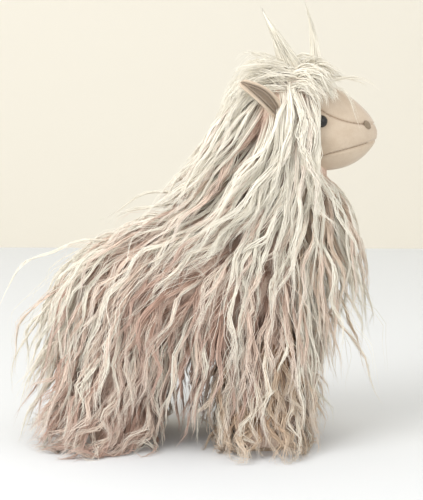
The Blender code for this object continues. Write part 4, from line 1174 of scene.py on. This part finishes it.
class LlamaFaceSizes(bpy.types.PropertyGroup):
    seam_depth: size_property("Seam depth", "How far the seams draw the panels in", 1.0)
    seam_roll: size_property("Seam roll", "How far from a seam the cloth rolls in", 1.2)
    stitch: size_property("Stitch", "Length of one stitch", 2.4)
    lump: size_property("Lumps", "How far the stuffing shows in the face", 0.25)
    eye: size_property("Eye", "Diameter of the bead", 8.8)
    eye_bulge: size_property("Eye bulge", "How far the bead stands out", 4.0)
    nostril_length: size_property("Nostril length", "Length of the stitched oval", 7.2)
    nostril_height: size_property("Nostril height", "Height of the stitched oval", 5.6)
    thread: size_property("Thread", "Thickness of the satin thread", 0.45)
    ear_cloth: size_property("Ear cloth", "Thickness of the ear's outer cloth", 1.8)
    lining_cloth: size_property("Ear lining", "Thickness of the ear's lining", 1.2)


def velour_material(name, base, shadow):
    """Short-pile cloth of the face and the ears, made once for each colour."""
    if name in bpy.data.materials:
        return bpy.data.materials[name]
    values = {"Base": tuple(base), "Shadow": tuple(shadow), "Grain": 1500.0, "Mottle": 0.45}
    group = group_named("Short pile", velour_group)
    return new_material(name, group, values, 0.85, 0.55, 0.35 * MM, Sheen_Weight=0.35, Sheen_Roughness=0.45)


class LLAMA_OT_face(bpy.types.Operator):
    """Add the four short-pile panels of the face, drawn in at their seams"""

    bl_idname = "llama.face"
    bl_label = "Face panels"

    def execute(self, context):
        colours = context.scene.llama_colours
        sizes = context.scene.llama_face
        cloth = velour_material("face_velour", colours.face, colours.face_shadow)
        pi = math.pi
        panels = {
            "nose_bridge": (lambda u, l: u, lambda u, l: pi - u),
            "cheek_right": (lambda u, l: l, lambda u, l: u),
            "cheek_left": (lambda u, l: pi - u, lambda u, l: pi - l),
            "chin": (lambda u, l: -pi - l, lambda u, l: l),
        }
        for name, edges in panels.items():
            add_piece(f"{name}_cloth", panel_mesh(name, sizes, edges), cloth, "short_pile", name)
        thread = velour_material("seam_thread", colours.seam, tuple(c * 0.8 for c in colours.seam))
        for side, sign in SIDES.items():
            shape = bmesh.new()
            for seam in (0, 1):
                self.sew(shape, sizes, sign, seam)
            add_piece(f"seam_thread_{side}", finished_mesh("seam", shape), thread, "short_pile")
        return {"FINISHED"}

    def sew(self, shape, sizes, sign, seam):
        """Stitches laid one after the other in a seam's groove."""
        end = TIP_X - 7 * MM
        count = round((end - FACE_X) / sizes.stitch)
        for k in range(count):
            rings = []
            for share in (0.06, 0.35, 0.65, 0.94):
                x = FACE_X + (end - FACE_X) * (k + share) / count
                height = float(seam_heights(x)[seam])
                spot, normal = head_spot(x, height, sign)
                next_x = x + 0.1 * MM
                next_height = float(seam_heights(next_x)[seam])
                ahead = (head_spot(next_x, next_height, sign)[0] - spot).normalized()
                across = ahead.cross(normal).normalized()
                low = spot - normal * (sizes.seam_depth * 0.6 + 0.1 * MM * abs(share - 0.5))
                rings.append(tube_ring(shape, low, across, normal, sizes.thread * 0.5, 6))
            join_rings(shape, rings)


class LLAMA_OT_eyes(bpy.types.Operator):
    """Add the two bead eyes"""

    bl_idname = "llama.eyes"
    bl_label = "Eyes"

    def execute(self, context):
        colours = context.scene.llama_colours
        sizes = context.scene.llama_face
        bead = new_material(
            "black_bead", rough=0.12, Specular_IOR_Level=0.35, Coat_Weight=0.3, Coat_Roughness=0.05
        )
        draw_bead(bead, tuple(colours.bead))
        for side, sign in SIDES.items():
            point, outward = head_spot(HEAD_X + EYE_FORWARD, EYE_RISE, sign)
            turn = outward.to_track_quat("Z", "Y").to_matrix()
            across, up = turn.col[0], turn.col[1]
            shape = bmesh.new()
            rings = [tube_ring(shape, point - outward * 1.5 * MM, across, up, sizes.eye * 0.3, 40)]
            rings.append(tube_ring(shape, point + outward * 0.1 * MM, across, up, sizes.eye * 0.47, 40))
            for k in range(14):
                lift = math.pi / 2 * k / 14
                middle = point + outward * (0.3 * MM + sizes.eye_bulge * math.sin(lift))
                rings.append(tube_ring(shape, middle, across, up, sizes.eye / 2 * math.cos(lift), 40))
            join_rings(shape, rings)
            add_piece(f"eye_bead_{side}", finished_mesh("eye", shape), bead, "black_bead", f"eye_{side}")
        return {"FINISHED"}


def draw_bead(made, colour):
    """Black with a trace of brown deep in the bead."""
    kit = ShaderKit(made.node_tree)
    where = kit.add("ShaderNodeTexCoord").outputs["Object"]
    haze = kit.noise(where, 260.0, 2.0)
    tone = kit.blend(kit.ease(haze, 0.3, 0.8), (*colour, 1), (*(c * 1.8 for c in colour), 1))
    kit.link(tone, made.node_tree.nodes["Principled BSDF"].inputs["Base Color"])


class LLAMA_OT_nostrils(bpy.types.Operator):
    """Add the satin-stitched nostrils, thread by thread"""

    bl_idname = "llama.nostrils"
    bl_label = "Nostrils"

    def execute(self, context):
        colours = context.scene.llama_colours
        sizes = context.scene.llama_face
        shadow = tuple(c * 0.72 for c in colours.nostril)
        values = {"Base": tuple(colours.nostril), "Shadow": shadow, "Grain": 2600.0, "Mottle": 0.3}
        group = group_named("Short pile", velour_group)
        thread = new_material("satin_thread", group, values, 0.42, 0.2, 0.1 * MM, Sheen_Weight=0.2)
        half = sizes.nostril_length / 2, sizes.nostril_height / 2
        for side, sign in SIDES.items():
            point, outward = head_spot(TIP_X - NOSTRIL_FROM_TIP, NOSTRIL_RISE - MUZZLE_DROP, sign)
            along = Vector((math.cos(NOSTRIL_TILT), 0, -math.sin(NOSTRIL_TILT)))
            along = (along - outward * along.dot(outward)).normalized()
            up = outward.cross(along)
            shape = bmesh.new()
            count = round(sizes.nostril_length / sizes.thread * 1.15)
            for k in range(count):
                off = half[0] * (2 * (k + 0.5) / count - 1)
                span = half[1] * math.sqrt(1 - (off / half[0]) ** 2)
                rings = []
                for m in range(9):
                    lift = 2 * m / 8 - 1
                    flat = point + along * off + up * (span * lift)
                    low, normal = head_spot(flat.x, flat.z - HEAD_Z, sign)
                    rise = (0.1 + 0.75 * math.sqrt(max(1 - (off / half[0]) ** 2 * 0.6 - lift**2, 0))) * MM
                    middle = low + normal * rise
                    rings.append(tube_ring(shape, middle, along, normal, sizes.thread / 2, 6))
                join_rings(shape, rings)
            mesh = finished_mesh("nostril", shape)
            add_piece(f"nostril_thread_{side}", mesh, thread, "satin_thread", f"nostril_{side}")
        return {"FINISHED"}


def ear_mesh(name, sign, gap_in, thickness, lip):
    """A leaf folded along its middle and cupped, gap_in inside the outer cloth's fold."""
    start, end = ear_line(sign)
    along = (end - start).normalized()
    outward = Vector((0, sign, 0))
    outward = (outward - along * outward.dot(along)).normalized()
    up = outward.cross(along).normalized()
    if up.z < 0:
        up = -up
    shape = bmesh.new()
    rings = []
    stations = 15
    half = EAR_OPENING / 2
    for k in range(stations):
        share = k / (stations - 1)
        arm = EAR_ARM * (0.3 + 0.7 * math.sin(math.pi * (0.18 + 0.77 * share)) ** 0.8) + lip
        arm = max(arm - gap_in * math.cos(half), thickness)
        fold = start.lerp(end, share) + up * (EAR_BOW * math.sin(math.pi * share)) + outward * gap_in
        cup = 1.1 * MM * math.sin(math.pi * min(share + 0.1, 1))
        ring = [fold]
        arms = []
        for s in (1, -1):
            tip = outward * math.cos(half) + up * (s * math.sin(half))
            face = outward * math.sin(half) - up * (s * math.cos(half))
            outer = [fold + tip * (arm * w) - face * (cup * math.sin(math.pi * w)) for w in (0.35, 0.7, 1.0)]
            inner = [spot + face * thickness for spot in reversed(outer)]
            arms.append((outer, inner))
        depth = thickness / math.sin(half)
        ring += [*arms[0][0], *arms[0][1], fold + outward * depth]
        ring += [*reversed(arms[1][1]), *reversed(arms[1][0])]
        rings.append([shape.verts.new(spot) for spot in ring])
    join_rings(shape, rings)
    return finished_mesh(name, shape)


def smoothed(piece):
    """Rounds a piece with a subdivision surface and keeps the result as its mesh."""
    rounder = piece.modifiers.new("rounding", "SUBSURF")
    rounder.levels = rounder.render_levels = 1
    bpy.context.view_layer.update()
    whole = bpy.data.meshes.new_from_object(piece.evaluated_get(bpy.context.evaluated_depsgraph_get()))
    piece.modifiers.clear()
    piece.data = whole
    whole.shade_smooth()


class LLAMA_OT_ears(bpy.types.Operator):
    """Add the folded ears, each an outer cloth and a lining"""

    bl_idname = "llama.ears"
    bl_label = "Ears"

    def execute(self, context):
        colours = context.scene.llama_colours
        sizes = context.scene.llama_face
        cloth = velour_material("face_velour", colours.face, colours.face_shadow)
        dark = tuple(c * 0.75 for c in colours.lining)
        lining = velour_material("ear_lining_velour", colours.lining, dark)
        lip = 1.6 * MM
        seat = (sizes.ear_cloth + 0.3 * MM) / math.sin(EAR_OPENING / 2)
        for side, sign in SIDES.items():
            outer_mesh = ear_mesh("ear", sign, 0, sizes.ear_cloth, lip)
            outer = add_piece(f"ear_cloth_{side}", outer_mesh, cloth, "short_pile", f"ear_shell_{side}")
            inner_mesh = ear_mesh("lining", sign, seat, sizes.lining_cloth, -lip)
            inner = add_piece(f"ear_inside_{side}", inner_mesh, lining, "ear_lining", f"ear_lining_{side}")
            smoothed(outer)
            smoothed(inner)
        return {"FINISHED"}


INNER_FINISHES = {
    "soles": ("sole_", (188, 168, 146), (160, 140, 118), 700.0, 0.9),
    "fibre": ("_filling", (242, 240, 235), (222, 219, 212), 380.0, 0.95),
    "washers": ("eye_washer", (232, 231, 226), (214, 213, 208), 300.0, 0.35),
    "bag_cloth": ("bead_bag", (226, 222, 214), (204, 199, 190), 1200.0, 0.8),
}


class LLAMA_OT_inner(bpy.types.Operator):
    """Give the soles and the pieces inside the coat their finishes"""

    bl_idname = "llama.inner"
    bl_label = "Inner finishes"

    def execute(self, context):
        group = group_named("Short pile", velour_group)
        for name, (mark, base, shadow, grain, rough) in INNER_FINISHES.items():
            values = {"Base": linear(*base), "Shadow": linear(*shadow), "Grain": grain, "Mottle": 0.5}
            made = new_material(name, group, values, rough, 0.4, 0.4 * MM)
            for node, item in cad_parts.items():
                if mark in node:
                    item.data.materials.clear()
                    item.data.materials.append(made)
        return {"FINISHED"}


class LLAMA_OT_stage(bpy.types.Operator):
    """Add the floor, the backdrop, the lights and the camera"""

    bl_idname = "llama.stage"
    bl_label = "Stage"

    def execute(self, context):
        scene = context.scene
        colours = scene.llama_colours
        stage = scene.llama_stage
        self.add_plane("floor", Matrix.Diagonal((6, 6, 1, 1)), colours.floor)
        upright = Matrix.Rotation(math.radians(90), 4, "X")
        wall = Matrix.Translation((0, 1.1, 0)) @ upright @ Matrix.Diagonal((6, 6, 1, 1))
        self.add_plane("backdrop", wall, colours.backdrop)
        world = bpy.data.worlds.new("studio")
        world.use_nodes = True
        world.node_tree.nodes["Background"].inputs["Color"].default_value = (1, 1, 1, 1)
        world.node_tree.nodes["Background"].inputs["Strength"].default_value = stage.sky
        scene.world = world
        self.add_lamp("window", (-0.8, -0.8, 1.1), 0.9, stage.key_power)
        self.add_lamp("room", (0.9, -1.2, 0.7), 1.2, stage.fill_power)
        scene.view_settings.view_transform = "Standard"
        camera = bpy.data.objects.new("camera", bpy.data.cameras.new("camera"))
        scene.collection.objects.link(camera)
        camera.location = (stage.camera_forward, -stage.camera_distance, stage.camera_height)
        target = Vector(CAMERA_AIM)
        camera.rotation_euler = (target - camera.location).to_track_quat("-Z", "Y").to_euler()
        camera.data.lens = stage.lens
        scene.camera = camera
        return {"FINISHED"}

    def add_plane(self, name, place, colour):
        shape = bmesh.new()
        bmesh.ops.create_grid(shape, x_segments=1, y_segments=1, size=0.5, matrix=place)
        mesh = bpy.data.meshes.new(name)
        shape.to_mesh(mesh)
        shape.free()
        plane = bpy.data.objects.new(name, mesh)
        bpy.context.scene.collection.objects.link(plane)
        surface = new_material(name, rough=0.9)
        surface.node_tree.nodes["Principled BSDF"].inputs["Base Color"].default_value = (*colour, 1)
        mesh.materials.append(surface)

    def add_lamp(self, name, place, size, power):
        lamp = bpy.data.objects.new(name, bpy.data.lights.new(name, "AREA"))
        bpy.context.scene.collection.objects.link(lamp)
        lamp.location = place
        lamp.rotation_euler = (Vector((0, 0, 0.15)) - lamp.location).to_track_quat("-Z", "Y").to_euler()
        lamp.data.size = size
        lamp.data.energy = power


class LLAMA_PT_panel(bpy.types.Panel):
    """Lists the steps that dress the llama"""

    bl_label = "Plush Llama"
    bl_space_type = "VIEW_3D"
    bl_region_type = "UI"
    bl_category = "Plush Llama"

    def draw(self, context):
        for step in STEPS:
            self.layout.operator(step.bl_idname)


STEPS = (
    LLAMA_OT_ground,
    LLAMA_OT_body_pile,
    LLAMA_OT_neck_pile,
    LLAMA_OT_head_pile,
    LLAMA_OT_leg_pile,
    LLAMA_OT_face,
    LLAMA_OT_eyes,
    LLAMA_OT_nostrils,
    LLAMA_OT_ears,
    LLAMA_OT_inner,
    LLAMA_OT_stage,
)
SETTINGS = {
    "llama_pile": LlamaPileSizes,
    "llama_face": LlamaFaceSizes,
    "llama_colours": LlamaColours,
    "llama_stage": LlamaStageSizes,
}


def register():
    for kind in (*SETTINGS.values(), *STEPS, LLAMA_PT_panel):
        bpy.utils.register_class(kind)
    for name, kind in SETTINGS.items():
        setattr(bpy.types.Scene, name, PointerProperty(type=kind))


def unregister():
    for name in SETTINGS:
        delattr(bpy.types.Scene, name)
    for kind in reversed((*SETTINGS.values(), *STEPS, LLAMA_PT_panel)):
        bpy.utils.unregister_class(kind)


def main():
    register()
    for step in STEPS:
        group, action = step.bl_idname.split(".")
        getattr(getattr(bpy.ops, group), action)()


if __name__ == "__main__":
    main()
